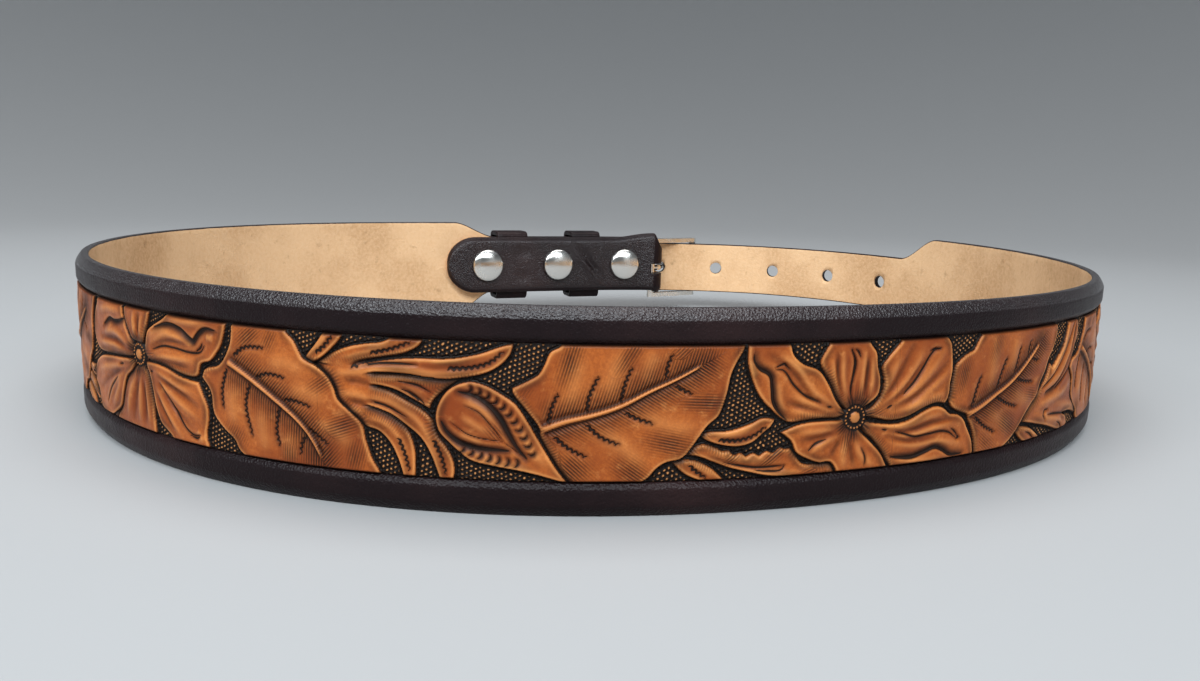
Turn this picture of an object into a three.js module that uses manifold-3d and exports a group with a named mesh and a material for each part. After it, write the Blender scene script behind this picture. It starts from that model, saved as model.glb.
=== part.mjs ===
// A western belt with a tooled panel, standing on its lower edge and fastened at the back.
// Millimetres, +Z up. The middle of the tooled front faces -Y, and the fastening is at +Y.
// The origin is at the middle of the belt's footprint.

import * as THREE from 'three';
import { mergeVertices } from 'three/addons/utils/BufferGeometryUtils.js';
import Module from 'manifold-3d';

const wasm = await Module();
wasm.setup();

// Driving dimensions

const gap = 0.3; // between pieces that touch on the real belt

// The loop, seen from above: a nearly round curve through the strap's outer face.
const loopRadius = 137.6;
const loopRoundness = [
  { waves: 2, cosShare: 0.0435, sinShare: 0.0689 },
  { waves: 3, cosShare: -0.0271, sinShare: 0.009 },
  { waves: 4, cosShare: -0.0069, sinShare: -0.0143 },
];
const loopSamples = 1440;
const frontAngle = -Math.PI / 2;

// The leather
const leather = 3; // thickness, which is also the height of the borders
const beltWidth = 38.1;
const borderWidth = 6.5;
const panelDepth = 0.9; // how far the tooled ground lies below the borders
const panelBevel = 0.5;
const outerEdgeRound = 1.4;
const innerEdgeBevel = 0.45;
const edgeSteps = 3;
const outerEdgeShare = 0.6; // of a narrow section's half height, at most
const innerEdgeShare = 0.3;
const plainPanelShare = 0.1; // of the half height, where the panel is flush
const sinkRate = 4; // the ground is at its depth a quarter of the way into the panel's taper

// The buckle end: it is folded back round the buckle's bar and snapped to itself on the inside.
const foldPlaceShare = 0.4774; // of the loop's length, from the middle of the front
const neckLength = 76.5; // from the fold to where the strap starts to widen
const taperLength = 18;
const neckWidth = 23;
const neckMiddleHeight = 20.7;
const foldBackLength = 97.8;
const foldFlare = 2.1; // how much higher the fold-back gets towards the fold
const foldFlareLength = 24;
const snapToFold = 18.6;
const snapSpacing = 31.35;
const snapCount = 3;
const layerSpace = 2.3; // between the neck and the fold-back, at the snaps
const foldBackEndSpace = 0.6; // the same at its round end

// The billet: the other end, with the holes, which lies outside the neck.
const billetNeckLength = 111.5; // from the fold to where the strap starts to widen
const billetWidth = 21.4;
const billetMiddleHeight = 18.8;
const billetTipPast = 45; // beyond the last hole
const billetPointLength = 17;
const holeSpacing = 25.4;
const holeDiameter = 5;
const holesBeforeProng = 4;
const holesAfterProng = 2;

// Keepers
const keeperWall = 1.9;
const keeperWidth = 13.4;
const keeperRound = 2.4;
const keeperSteps = 4;
const bulgeShare = { full: 0.5, none: 0.75 }; // of a keeper's width, from its middle
const keeperPlaces = [
  { name: 'keeper_near_buckle', snapShare: 0.56 },
  { name: 'keeper_far', snapShare: 1.62 },
];

// Buckle
const barDiameter = 3;
const frameReach = 19.8; // from the bar to the far bar, along the strap
const farBarDiameter = 3.6;
const railThickness = 1.8;
const railRoom = 0.4; // between the rails and the leather's edges
const prongDiameter = 2.4;
const slotHeight = 4.4;
const slotReach = 5.6; // from the fold, on both layers
const prongRiseShare = 0.7; // how steeply the prong rises out of the billet's hole
const prongSteps = 18;
const prongSides = 10;
const railEndSteps = 8;

// Snaps
const capDiameter = 13.2;
const capRim = 0.7;
const capDome = 2.3;
const domeSteps = 5;
const shankDiameter = 6.4;
const socketDiameter = 8.6;
const socketBore = 4.6;
const flangeThickness = 0.55;
const ballDiameter = 3.8;
const postDiameter = 3.4;
const studHeadDiameter = 8.4;
const studHeadThickness = 0.8;
const roundSides = 20;
const holeSides = 16;

// Steps along the strap
const loopStep = 10;
const billetStep = 8;
const neckStep = 4.5;
const foldBackStep = 3.6;
const bendSteps = 10;
const roundEndSteps = 7;
const tipShare = 0.35; // of a step, from a round end's tip to the first section
const cornersCutBy = -Math.PI / 8; // how far round the bend its corners are cut back
const weldDistance = 1e-4;

// The loop's outer face as a list of points, each with its way along the belt from the middle
// of the front, towards +X.

function facePoint(angle) {
  let radius = loopRadius;
  for (const { waves, cosShare, sinShare } of loopRoundness) {
    radius += loopRadius * (cosShare * Math.cos(waves * angle) + sinShare * Math.sin(waves * angle));
  }
  return new THREE.Vector2(radius * Math.cos(angle), radius * Math.sin(angle));
}

const faceCurve = [];
let loopLength = 0;
for (let i = 0; i <= loopSamples; i++) {
  const point = facePoint(frontAngle + (2 * Math.PI * i) / loopSamples);
  if (i > 0) loopLength += point.distanceTo(faceCurve[i - 1].point);
  faceCurve.push({ point, along: loopLength });
}

// A place on the belt: along its face, out from its face, and up from its lower edge.
function place(along, out, up) {
  const wrapped = THREE.MathUtils.euclideanModulo(along, loopLength);
  let low = 0;
  let high = loopSamples;
  while (high - low > 1) {
    const middle = (low + high) >> 1;
    if (faceCurve[middle].along <= wrapped) low = middle;
    else high = middle;
  }
  const share = (wrapped - faceCurve[low].along) / (faceCurve[high].along - faceCurve[low].along);
  const point = faceCurve[low].point.clone().lerp(faceCurve[high].point, share);
  const outward = outwardAt(low, share);
  return new THREE.Vector3(point.x + out * outward.x, point.y + out * outward.y, up);
}

function outwardAt(index, share) {
  const normalAt = (i) => {
    const before = faceCurve[(i - 1 + loopSamples) % loopSamples].point;
    const after = faceCurve[(i + 1) % loopSamples].point;
    return new THREE.Vector2(after.y - before.y, before.x - after.x).normalize();
  };
  return normalAt(index).lerp(normalAt(index + 1), share).normalize();
}

// Places worked out from the sizes

const foldPlace = foldPlaceShare * loopLength;
const bendRadius = barDiameter / 2 + gap + leather / 2; // of the middle of the leather
const barPlace = foldPlace + leather / 2 + bendRadius;
const neckOut = -leather / 2;
const barOut = neckOut - bendRadius;
const foldBackOutAtSnaps = -leather - layerSpace - leather / 2;
const foldBackOutAtKeepers = -leather - gap - keeperWall - gap - leather / 2;
const foldBackOutAtEnd = -leather - foldBackEndSpace - leather / 2;
const foldBackEnd = foldPlace + foldBackLength;
const neckEnd = foldPlace + neckLength;
const wideStart = neckEnd + taperLength;
const billetStart = loopLength + foldPlace - billetNeckLength;
const wideEnd = billetStart - taperLength;
const billetOut = gap + leather / 2;
const prongHole = foldPlace - gap; // the billet's hole over the fold
const billetTip = loopLength + prongHole + holesAfterProng * holeSpacing + billetTipPast;

const neckLow = neckMiddleHeight - neckWidth / 2;
const neckTop = neckMiddleHeight + neckWidth / 2;
const billetLow = billetMiddleHeight - billetWidth / 2;
const billetTop = billetMiddleHeight + billetWidth / 2;

const snapPlaces = [];
for (let i = 0; i < snapCount; i++) snapPlaces.push(foldPlace + snapToFold + i * snapSpacing);
const keepers = keeperPlaces.map(({ name, snapShare }) => ({
  name,
  along: foldPlace + snapToFold + snapShare * snapSpacing,
}));

const { smoothstep, lerp } = THREE.MathUtils;

// The strap's sections: the way along, the middle of its thickness and its two edges.

function foldBackOut(along) {
  let out = foldBackOutAtSnaps;
  for (const keeper of keepers) {
    const near = 1 - smoothstep(Math.abs(along - keeper.along), keeperWidth * bulgeShare.full,
      keeperWidth * bulgeShare.none);
    out = lerp(out, foldBackOutAtKeepers, near);
  }
  const toBend = 1 - smoothstep(along, barPlace, snapPlaces[0] - capDiameter / 2);
  out = lerp(out, barOut - bendRadius, toBend);
  const lastSnap = snapPlaces[snapCount - 1];
  return lerp(out, foldBackOutAtEnd, smoothstep(along, lastSnap + capDiameter / 2, foldBackEnd));
}

function foldBackTop(along) {
  return neckTop + foldFlare * (1 - smoothstep(along, barPlace, foldPlace + foldFlareLength));
}

// From 1 at a round end's tip to 0 where the full width starts.
function roundEndShare(fromTip, length) {
  const away = Math.max(0, 1 - fromTip / length);
  return Math.sqrt(1 - away * away);
}

// The way from a round end's tip to one of its sections, closer together near the tip.
function tipDistance(index, length) {
  const share = (index + tipShare) / (roundEndSteps + tipShare);
  return length * (1 - Math.cos(share * (Math.PI / 2)));
}

function strapSections() {
  const sections = [];
  const add = (along, out, low, top, turn = 0, panel = 0) =>
    sections.push({ along, out, low, top, turn, panel });

  // The fold-back, from its round end to the bend
  const endRadius = neckWidth / 2;
  for (let i = 0; i <= roundEndSteps; i++) {
    const fromTip = tipDistance(i, endRadius);
    const half = endRadius * roundEndShare(fromTip, endRadius);
    const along = foldBackEnd - fromTip;
    add(along, foldBackOut(along), neckMiddleHeight - half, neckMiddleHeight + half, Math.PI);
  }
  const foldBackRun = foldBackEnd - endRadius - barPlace;
  const foldBackSteps = Math.round(foldBackRun / foldBackStep);
  for (let i = 1; i <= foldBackSteps; i++) {
    const along = foldBackEnd - endRadius - (foldBackRun * i) / foldBackSteps;
    add(along, foldBackOut(along), neckLow, foldBackTop(along), Math.PI);
  }

  // The bend, where the corners are cut back to clear the buckle's rails
  for (let i = 1; i < bendSteps; i++) {
    const angle = (Math.PI * i) / bendSteps - Math.PI / 2;
    const cut = smoothstep(angle, -Math.PI / 2, cornersCutBy);
    add(barPlace - bendRadius * Math.cos(angle), barOut + bendRadius * Math.sin(angle),
      lerp(neckLow, billetLow, cut), lerp(foldBackTop(barPlace), billetTop, cut), Math.PI / 2 - angle);
  }

  // The neck and its taper
  const neckSteps = Math.round((wideStart - barPlace) / neckStep);
  for (let i = 0; i < neckSteps; i++) {
    const along = lerp(barPlace, wideStart, i / neckSteps);
    const wide = smoothstep(along, neckEnd, wideStart);
    const cut = 1 - smoothstep(along, barPlace, barPlace + leather);
    add(along, neckOut, lerp(lerp(neckLow, billetLow, cut), 0, wide),
      lerp(lerp(neckTop, billetTop, cut), beltWidth, wide));
  }

  // The wide strap with its sunk panel
  const wideSteps = Math.round((wideEnd - wideStart) / loopStep);
  for (let i = 0; i <= wideSteps; i++) {
    const along = lerp(wideStart, wideEnd, i / wideSteps);
    const fromEnd = Math.min(along - wideStart, wideEnd - along);
    add(along, neckOut, 0, beltWidth, 0, smoothstep(fromEnd, 0, taperLength));
  }

  // The billet, from its taper to its tip
  const tipStart = billetTip - billetPointLength;
  const overNeck = loopLength + foldPlace - frameReach;
  const billetSteps = Math.round((tipStart - wideEnd) / billetStep);
  for (let i = 1; i <= billetSteps; i++) {
    const along = lerp(wideEnd, tipStart, i / billetSteps);
    const narrow = smoothstep(along, wideEnd, billetStart);
    const out = lerp(neckOut, billetOut, smoothstep(along, billetStart, overNeck));
    add(along, out, lerp(0, billetLow, narrow), lerp(beltWidth, billetTop, narrow));
  }
  for (let i = roundEndSteps - 1; i >= 0; i--) {
    const fromTip = tipDistance(i, billetPointLength);
    const half = (billetWidth / 2) * roundEndShare(fromTip, billetPointLength);
    add(billetTip - fromTip, billetOut, billetMiddleHeight - half, billetMiddleHeight + half);
  }
  return sections;
}

// The outline of one section as points of (out, up), anticlockwise seen from the way it goes to.
function sectionOutline({ low, top, panel }) {
  const half = (top - low) / 2;
  const round = Math.min(outerEdgeRound, half * outerEdgeShare);
  const bevel = Math.min(innerEdgeBevel, half * innerEdgeShare);
  const panelHalf = lerp(half * plainPanelShare, half - borderWidth, panel);
  const sunk = leather / 2 - panelDepth * Math.min(panel * sinkRate, 1);
  const sunkHalf = panelHalf - Math.min(panelBevel, panelHalf / 3);
  const face = leather / 2;
  const lower = [
    [-face, -half + bevel],
    [-face + bevel, -half],
  ];
  for (let i = 0; i <= edgeSteps; i++) {
    const angle = (Math.PI / 2) * (i / edgeSteps);
    lower.push([face - round + round * Math.sin(angle), -half + round - round * Math.cos(angle)]);
  }
  lower.push([face, -panelHalf], [sunk, -sunkHalf]);
  const upper = lower.map(([out, up]) => [out, -up]).reverse();
  return [...lower, ...upper].reverse();
}

function sectionRing(section) {
  const middle = (section.low + section.top) / 2;
  return sectionOutline(section).map(([out, up]) => place(
    section.along - out * Math.sin(section.turn),
    section.out + out * Math.cos(section.turn),
    middle + up,
  ));
}

// Closed bodies through rings of points

function geometryFrom(points, faces) {
  const geometry = new THREE.BufferGeometry().setFromPoints(points);
  geometry.setIndex(faces.flat());
  return geometry;
}

function loftRings(rings) {
  const count = rings[0].length;
  const points = rings.flat();
  const faces = [];
  for (let i = 0; i + 1 < rings.length; i++) {
    for (let j = 0; j < count; j++) {
      const next = (j + 1) % count;
      const [a, b] = [i * count + j, i * count + next];
      faces.push([a, b, b + count], [a, b + count, a + count]);
    }
  }
  const closeEnd = (ring, start, flip) => {
    const middle = new THREE.Vector3();
    ring.forEach((point) => middle.addScaledVector(point, 1 / count));
    const centre = points.push(middle) - 1;
    for (let j = 0; j < count; j++) {
      const pair = [start + j, start + ((j + 1) % count)];
      faces.push(flip ? [centre, pair[1], pair[0]] : [centre, pair[0], pair[1]]);
    }
  };
  closeEnd(rings[0], 0, true);
  closeEnd(rings[rings.length - 1], (rings.length - 1) * count, false);
  return geometryFrom(points, faces);
}

// A band with a way through it: each step has an outer and an inner ring of as many points.
function loftBand(steps) {
  const count = steps[0].outer.length;
  const points = [];
  for (const { outer, inner } of steps) points.push(...outer, ...inner);
  const faces = [];
  const quad = (a, b, c, d) => faces.push([a, b, c], [a, c, d]);
  for (let j = 0; j < count; j++) {
    const next = (j + 1) % count;
    for (let i = 0; i + 1 < steps.length; i++) {
      const here = i * 2 * count;
      const there = here + 2 * count;
      quad(here + j, here + next, there + next, there + j);
      quad(here + count + next, here + count + j, there + count + j, there + count + next);
    }
    const last = (steps.length - 1) * 2 * count;
    quad(j, count + j, count + next, next);
    quad(last + j, last + next, last + count + next, last + count + j);
  }
  return geometryFrom(points, faces);
}

// Solids that can be cut and joined

function solidFrom(geometry) {
  const bare = geometry.clone();
  bare.deleteAttribute('normal');
  bare.deleteAttribute('uv');
  const merged = mergeVertices(bare, weldDistance);
  return new wasm.Manifold(new wasm.Mesh({
    numProp: 3,
    vertProperties: new Float32Array(merged.attributes.position.array),
    triVerts: new Uint32Array(merged.index.array),
  }));
}

function geometryOf(solid) {
  const { vertProperties, triVerts } = solid.getMesh();
  const geometry = new THREE.BufferGeometry();
  geometry.setAttribute('position', new THREE.BufferAttribute(vertProperties, 3));
  geometry.setIndex(new THREE.BufferAttribute(triVerts, 1));
  return geometry;
}

// Turns a geometry whose axis is Y so that the axis points out of the belt at a place on it.
function setOutwards(geometry, along, out, up) {
  const at = place(along, out, up);
  const outward = place(along, out + 1, up).sub(at).normalize();
  const turn = new THREE.Quaternion().setFromUnitVectors(new THREE.Vector3(0, 1, 0), outward);
  return geometry.applyQuaternion(turn).translate(at.x, at.y, at.z);
}

// Stands a geometry whose axis is Y upright at a place on the belt.
function setUpright(geometry, along, out, up) {
  const at = place(along, out, up);
  return geometry.rotateX(Math.PI / 2).translate(at.x, at.y, at.z);
}

function cutter(diameter, from, to, along, up) {
  const geometry = new THREE.CylinderGeometry(diameter / 2, diameter / 2, to - from, holeSides);
  return solidFrom(setOutwards(geometry, along, (from + to) / 2, up));
}

// Sub-parts

function makeStrap() {
  let strap = solidFrom(loftRings(strapSections().map(sectionRing)));

  // The billet's holes
  const cutReach = leather / 2 + gap;
  for (let i = -holesBeforeProng; i <= holesAfterProng; i++) {
    const along = prongHole + i * holeSpacing;
    const reached = smoothstep(along, foldPlace - billetNeckLength, foldPlace - frameReach);
    const out = lerp(neckOut, billetOut, reached);
    const up = billetMiddleHeight;
    strap = strap.subtract(cutter(holeDiameter, out - cutReach, out + cutReach, along, up));
  }

  // The snaps' holes through the fold-back and the neck, with a seat for the stud's head
  for (const along of snapPlaces) {
    const foldBackFace = foldBackOutAtSnaps - leather;
    const shankHole = shankDiameter + 2 * gap;
    const postHole = postDiameter + 2 * gap;
    const headSeat = studHeadDiameter + 2 * gap;
    const seatDepth = studHeadThickness + gap;
    strap = strap.subtract(cutter(shankHole, foldBackFace, -leather - gap, along, neckMiddleHeight));
    strap = strap.subtract(cutter(postHole, -leather - gap, 0, along, neckMiddleHeight));
    strap = strap.subtract(cutter(headSeat, -seatDepth, gap / 2, along, neckMiddleHeight));
  }

  // The prong's slot, round the bend
  const slotOut = gap / 2;
  const slotIn = barOut - bendRadius - leather;
  const slot = new THREE.BoxGeometry(slotReach + gap, slotOut - slotIn, slotHeight);
  const middle = foldPlace + (slotReach - gap) / 2;
  const at = place(middle, (slotOut + slotIn) / 2, billetMiddleHeight);
  const outward = place(middle, 1, 0).sub(place(middle, 0, 0));
  slot.rotateZ(Math.atan2(outward.y, outward.x) - Math.PI / 2).translate(at.x, at.y, at.z);
  strap = strap.subtract(solidFrom(slot));
  return geometryOf(strap);
}

// A rectangle with round corners, as points of (out, up).
function roundedRing(inner, outer, low, top, radius) {
  const corners = [
    { out: outer - radius, up: low + radius, turn: -Math.PI / 2 },
    { out: outer - radius, up: top - radius, turn: 0 },
    { out: inner + radius, up: top - radius, turn: Math.PI / 2 },
    { out: inner + radius, up: low + radius, turn: Math.PI },
  ];
  const ring = [];
  for (const corner of corners) {
    for (let i = 0; i <= edgeSteps; i++) {
      const angle = corner.turn + (Math.PI / 2) * (i / edgeSteps);
      ring.push([corner.out + radius * Math.cos(angle), corner.up + radius * Math.sin(angle)]);
    }
  }
  return ring;
}

function makeKeeper(middle) {
  const inner = -leather - gap;
  const outer = billetOut + leather / 2 + gap;
  const low = Math.min(neckLow, billetLow) - gap;
  const top = Math.max(neckTop, billetTop) + gap;
  const wall = keeperWall;
  const innerRing = roundedRing(inner, outer, low, top, keeperRound - wall);
  const outerRing = roundedRing(inner - wall, outer + wall, low - wall, top + wall, keeperRound);
  const steps = [];
  for (let i = 0; i <= keeperSteps; i++) {
    const along = middle + keeperWidth * (1 / 2 - i / keeperSteps);
    const ringAt = (ring) => ring.map(([out, up]) => place(along, out, up));
    steps.push({ outer: ringAt(outerRing), inner: ringAt(innerRing) });
  }
  return loftBand(steps);
}

function makeBuckle() {
  const railUp = { low: billetLow - railRoom - railThickness, top: billetTop + railRoom };
  const barUp = (railUp.low + railUp.top + railThickness) / 2;
  const barLength = railUp.top + railThickness - railUp.low;
  const farPlace = barPlace - frameReach;
  const farOut = billetOut + leather / 2 + gap + farBarDiameter / 2;

  const cylinder = (diameter) =>
    new THREE.CylinderGeometry(diameter / 2, diameter / 2, barLength, holeSides);
  let buckle = solidFrom(setUpright(cylinder(barDiameter), barPlace, barOut, barUp));
  buckle = buckle.add(solidFrom(setUpright(cylinder(farBarDiameter), farPlace, farOut, barUp)));

  // Two rails, each a flat plate with round ends
  const near = place(barPlace, barOut, 0);
  const far = place(farPlace, farOut, 0);
  const way = Math.atan2(far.y - near.y, far.x - near.x);
  const rail = new THREE.Shape();
  rail.absarc(near.x, near.y, barDiameter / 2, way + Math.PI / 2, way + (3 * Math.PI) / 2);
  rail.absarc(far.x, far.y, farBarDiameter / 2, way - Math.PI / 2, way + Math.PI / 2);
  for (const up of [railUp.low, railUp.top]) {
    const plate = new THREE.ExtrudeGeometry(rail, {
      depth: railThickness, bevelEnabled: false, curveSegments: railEndSteps,
    });
    buckle = buckle.add(solidFrom(plate.translate(0, 0, up)));
  }

  // The prong, from the bar through the slot and the billet's hole to rest on the far bar
  const rest = farOut + farBarDiameter / 2 + prongDiameter / 2 - gap;
  const route = [
    [barPlace, barOut],
    [foldPlace + gap, -leather / 2],
    [prongHole + gap, billetOut - leather / 2],
    [prongHole, billetOut + leather / 2],
    [prongHole - prongDiameter, lerp(billetOut + leather / 2, rest, prongRiseShare)],
    [farPlace, rest],
    [farPlace - farBarDiameter / 2, rest - gap],
  ].map(([along, out]) => place(along, out, billetMiddleHeight));
  const outline = new THREE.Shape().absarc(0, 0, prongDiameter / 2, 0, 2 * Math.PI);
  const prong = new THREE.ExtrudeGeometry(outline, {
    extrudePath: new THREE.CatmullRomCurve3(route),
    steps: prongSteps,
    curveSegments: prongSides,
    bevelEnabled: false,
  });
  return geometryOf(buckle.add(solidFrom(prong)));
}

// A snap's two metal pieces, turned about an axis that points inwards from the neck's inner face.

function turned(profile, along) {
  const points = profile.map(([radius, inwards]) => new THREE.Vector2(radius, -inwards)).reverse();
  const geometry = new THREE.LatheGeometry(points, roundSides);
  return setOutwards(geometry, along, -leather, neckMiddleHeight);
}

function makeSnapCap(along) {
  const socketFace = layerSpace - gap;
  const rim = layerSpace + leather + gap;
  const bore = rim - flangeThickness;
  const profile = [
    [0, bore],
    [socketBore / 2, bore],
    [socketBore / 2, socketFace - flangeThickness],
    [socketDiameter / 2, socketFace - flangeThickness],
    [socketDiameter / 2, socketFace],
    [shankDiameter / 2, socketFace],
    [shankDiameter / 2, rim],
    [capDiameter / 2, rim],
  ];
  for (let i = 0; i <= domeSteps; i++) {
    const angle = (Math.PI / 2) * (i / domeSteps);
    profile.push([(capDiameter / 2) * Math.cos(angle), rim + capRim + capDome * Math.sin(angle)]);
  }
  return turned(profile, along);
}

function makeSnapStud(along) {
  const headBack = -leather + studHeadThickness + gap / 3;
  const flange = gap + flangeThickness;
  const ballTop = layerSpace + leather / 3;
  const profile = [
    [0, headBack - studHeadThickness],
    [studHeadDiameter / 2, headBack - studHeadThickness],
    [studHeadDiameter / 2, headBack],
    [postDiameter / 2, headBack],
    [postDiameter / 2, gap],
    [socketDiameter / 2, gap],
    [socketDiameter / 2, flange],
    [ballDiameter / 2, flange],
    [ballDiameter / 2, ballTop - gap],
    [ballDiameter / 2 - gap, ballTop],
    [0, ballTop],
  ];
  return turned(profile, along);
}

// Materials

const darkLeather = new THREE.MeshStandardMaterial({ color: 0x33292a, roughness: 0.45 });
const strapLeather = new THREE.MeshStandardMaterial({ color: 0x8a4a26, roughness: 0.5 });
const nickel = new THREE.MeshStandardMaterial({ color: 0xd9d7d0, roughness: 0.25, metalness: 1 });

// Assembly

const belt = new THREE.Group();

function addPiece(name, geometry, material) {
  const piece = new THREE.Mesh(geometry, material.clone());
  piece.name = name;
  belt.add(piece);
}

addPiece('belt_strap', makeStrap(), strapLeather);
addPiece('buckle', makeBuckle(), nickel);
for (const { name, along } of keepers) addPiece(name, makeKeeper(along), darkLeather);
snapPlaces.forEach((along, i) => {
  addPiece(`snap_cap_${i + 1}`, makeSnapCap(along), nickel);
  addPiece(`snap_stud_${i + 1}`, makeSnapStud(along), nickel);
});

const footprint = new THREE.Box3().setFromObject(belt);
const middle = footprint.getCenter(new THREE.Vector3());
belt.position.set(-middle.x, -middle.y, -footprint.min.z);

export default belt;
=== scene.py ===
import math

import bmesh
import bpy
import numpy as np
from mathutils import Matrix, Vector


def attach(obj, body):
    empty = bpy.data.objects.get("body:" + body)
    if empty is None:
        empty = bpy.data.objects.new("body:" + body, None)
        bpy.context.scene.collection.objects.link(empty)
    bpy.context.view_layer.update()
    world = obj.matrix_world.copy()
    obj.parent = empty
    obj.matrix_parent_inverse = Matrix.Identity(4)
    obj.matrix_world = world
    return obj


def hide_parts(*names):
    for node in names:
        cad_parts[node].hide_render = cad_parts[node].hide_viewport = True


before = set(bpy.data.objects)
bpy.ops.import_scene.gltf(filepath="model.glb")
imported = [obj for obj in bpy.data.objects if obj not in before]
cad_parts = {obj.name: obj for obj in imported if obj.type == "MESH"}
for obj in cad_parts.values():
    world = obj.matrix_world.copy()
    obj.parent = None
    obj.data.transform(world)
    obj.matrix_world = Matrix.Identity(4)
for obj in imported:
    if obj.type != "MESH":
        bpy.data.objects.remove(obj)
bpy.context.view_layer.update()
mm = 0.001

print("loop")

beltLoop = {
    "radius": 137.6,
    "centre": (3.314, -5.859),
    "waves": ((2, 0.0435, 0.0689), (3, -0.0271, 0.009), (4, -0.0069, -0.0143)),
    "samples": 7200,
}

beltSizes = {
    "leather": 3.0,
    "width": 38.1,
    "border": 6.5,
    "foldShare": 0.4774,  # of the loop's length, from the middle of the front
    "neckLength": 76.5,
    "taper": 18.0,
    "neckWidth": 23.0,
    "neckMiddle": 20.7,
    "foldBack": 97.8,
    "foldFlare": 2.1,
    "foldFlareLength": 24.0,
    "layerSpace": 2.3,
    "endSpace": 0.6,
    "barDiameter": 3.0,
    "room": 0.3,
    "billetNeck": 111.5,
    "billetWidth": 21.4,
    "billetMiddle": 18.8,
    "billetPast": 45.0,
    "billetPoint": 17.0,
    "holeSpacing": 25.4,
    "holeDiameter": 5.0,
    "freeHoles": 4,  # before the one that the prong is in
    "tipHoles": 2,  # after it
    "frameReach": 19.8,
    "keeperWall": 1.9,
    "keeperWidth": 13.4,
    "keeperShares": (0.56, 1.62),  # of the snaps' spacing, from the first snap
    "snapToFold": 18.6,
    "snapSpacing": 31.35,
    "capDiameter": 13.2,
}


def waysAlong(line):
    steps = np.linalg.norm(np.diff(line, axis=0), axis=1)
    return np.concatenate([[0], np.cumsum(steps)])


def readLine(at, ways, line):  # the line's points, or what goes with them, at the given ways
    return np.stack([np.interp(at, ways, line[:, k]) for k in (0, 1)], axis=-1)


def loopCurve():
    angles = np.linspace(-math.pi / 2, 1.5 * math.pi, beltLoop["samples"] + 1)
    radii = np.ones_like(angles)
    for waves, cosShare, sinShare in beltLoop["waves"]:
        radii += cosShare * np.cos(waves * angles) + sinShare * np.sin(waves * angles)
    radii *= beltLoop["radius"]
    points = np.stack([radii * np.cos(angles), radii * np.sin(angles)], axis=1)
    ways = np.roll(points[:-1], -1, axis=0) - np.roll(points[:-1], 1, axis=0)
    ways /= np.linalg.norm(ways, axis=1)[:, None]
    outwards = np.stack([ways[:, 1], -ways[:, 0]], axis=1)
    along = waysAlong(points)
    points = points + np.array(beltLoop["centre"])
    return along, points, np.vstack([outwards, outwards[:1]])


loopAlong, loopPoints, loopOutwards = loopCurve()
loopLength = loopAlong[-1]


def outwardAt(along):
    return readLine(np.mod(along, loopLength), loopAlong, loopOutwards)


def beltPoint(along, out, up):  # along the face, out from it and up from the lower edge
    along, out, up = np.broadcast_arrays(along, out, up)
    flat = readLine(np.mod(along, loopLength), loopAlong, loopPoints) + out[..., None] * outwardAt(along)
    return np.concatenate([flat, up[..., None]], axis=-1) * mm


def smoothStep(value, low, high):
    share = np.clip((value - low) / (high - low), 0, 1)
    return share * share * (3 - 2 * share)


def blend(a, b, share):
    return a + (b - a) * share


leather = beltSizes["leather"]
room = beltSizes["room"]
foldPlace = beltSizes["foldShare"] * loopLength
bendRadius = beltSizes["barDiameter"] / 2 + room + leather / 2
barPlace = foldPlace + leather / 2 + bendRadius
neckOut = -leather / 2
barOut = neckOut - bendRadius
outAtSnaps = -leather - beltSizes["layerSpace"] - leather / 2
outAtKeepers = -leather - room - beltSizes["keeperWall"] - room - leather / 2
outAtEnd = -leather - beltSizes["endSpace"] - leather / 2
foldBackEnd = foldPlace + beltSizes["foldBack"]
neckEnd = foldPlace + beltSizes["neckLength"]
wideStart = neckEnd + beltSizes["taper"]
billetStart = loopLength + foldPlace - beltSizes["billetNeck"]
wideEnd = billetStart - beltSizes["taper"]
billetOut = room + leather / 2
prongHole = foldPlace - room
billetTip = (loopLength + prongHole + beltSizes["tipHoles"] * beltSizes["holeSpacing"]
             + beltSizes["billetPast"])
neckLow = beltSizes["neckMiddle"] - beltSizes["neckWidth"] / 2
neckTop = beltSizes["neckMiddle"] + beltSizes["neckWidth"] / 2
billetLow = beltSizes["billetMiddle"] - beltSizes["billetWidth"] / 2
billetTop = beltSizes["billetMiddle"] + beltSizes["billetWidth"] / 2
snapPlaces = [foldPlace + beltSizes["snapToFold"] + i * beltSizes["snapSpacing"] for i in range(3)]
keeperPlaces = {
    name: snapPlaces[0] + share * beltSizes["snapSpacing"]
    for name, share in zip(("keeper_near_buckle", "keeper_far"), beltSizes["keeperShares"])
}


# Meshes: a grid from bmesh whose vertices are moved to a table of points

def gridMesh(name, points, layers=None, uv=None):
    rows, columns = points.shape[:2]
    bm = bmesh.new()
    bmesh.ops.create_grid(bm, x_segments=columns - 1, y_segments=rows - 1, size=1)
    mesh = bpy.data.meshes.new(name)
    bm.to_mesh(mesh)
    bm.free()
    flat = np.empty(len(mesh.vertices) * 3, np.float32)
    mesh.vertices.foreach_get("co", flat)
    flat = flat.reshape(-1, 3)
    column = np.rint((flat[:, 0] + 1) / 2 * (columns - 1)).astype(int)
    row = np.rint((flat[:, 1] + 1) / 2 * (rows - 1)).astype(int)
    mesh.vertices.foreach_set("co", points[row, column].astype(np.float32).ravel())
    for layerName, values in (layers or {}).items():
        layer = mesh.attributes.new(layerName, "FLOAT", "POINT")
        values = np.broadcast_to(values, (rows, columns))
        layer.data.foreach_set("value", values[row, column].astype(np.float32))
    if uv is not None:
        corners = np.empty(len(mesh.loops), np.int32)
        mesh.loops.foreach_get("vertex_index", corners)
        uvLayer = mesh.uv_layers.new(name="surface")
        uvLayer.uv.foreach_set("vector", uv[row, column][corners].astype(np.float32).ravel())
    return mesh


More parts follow.
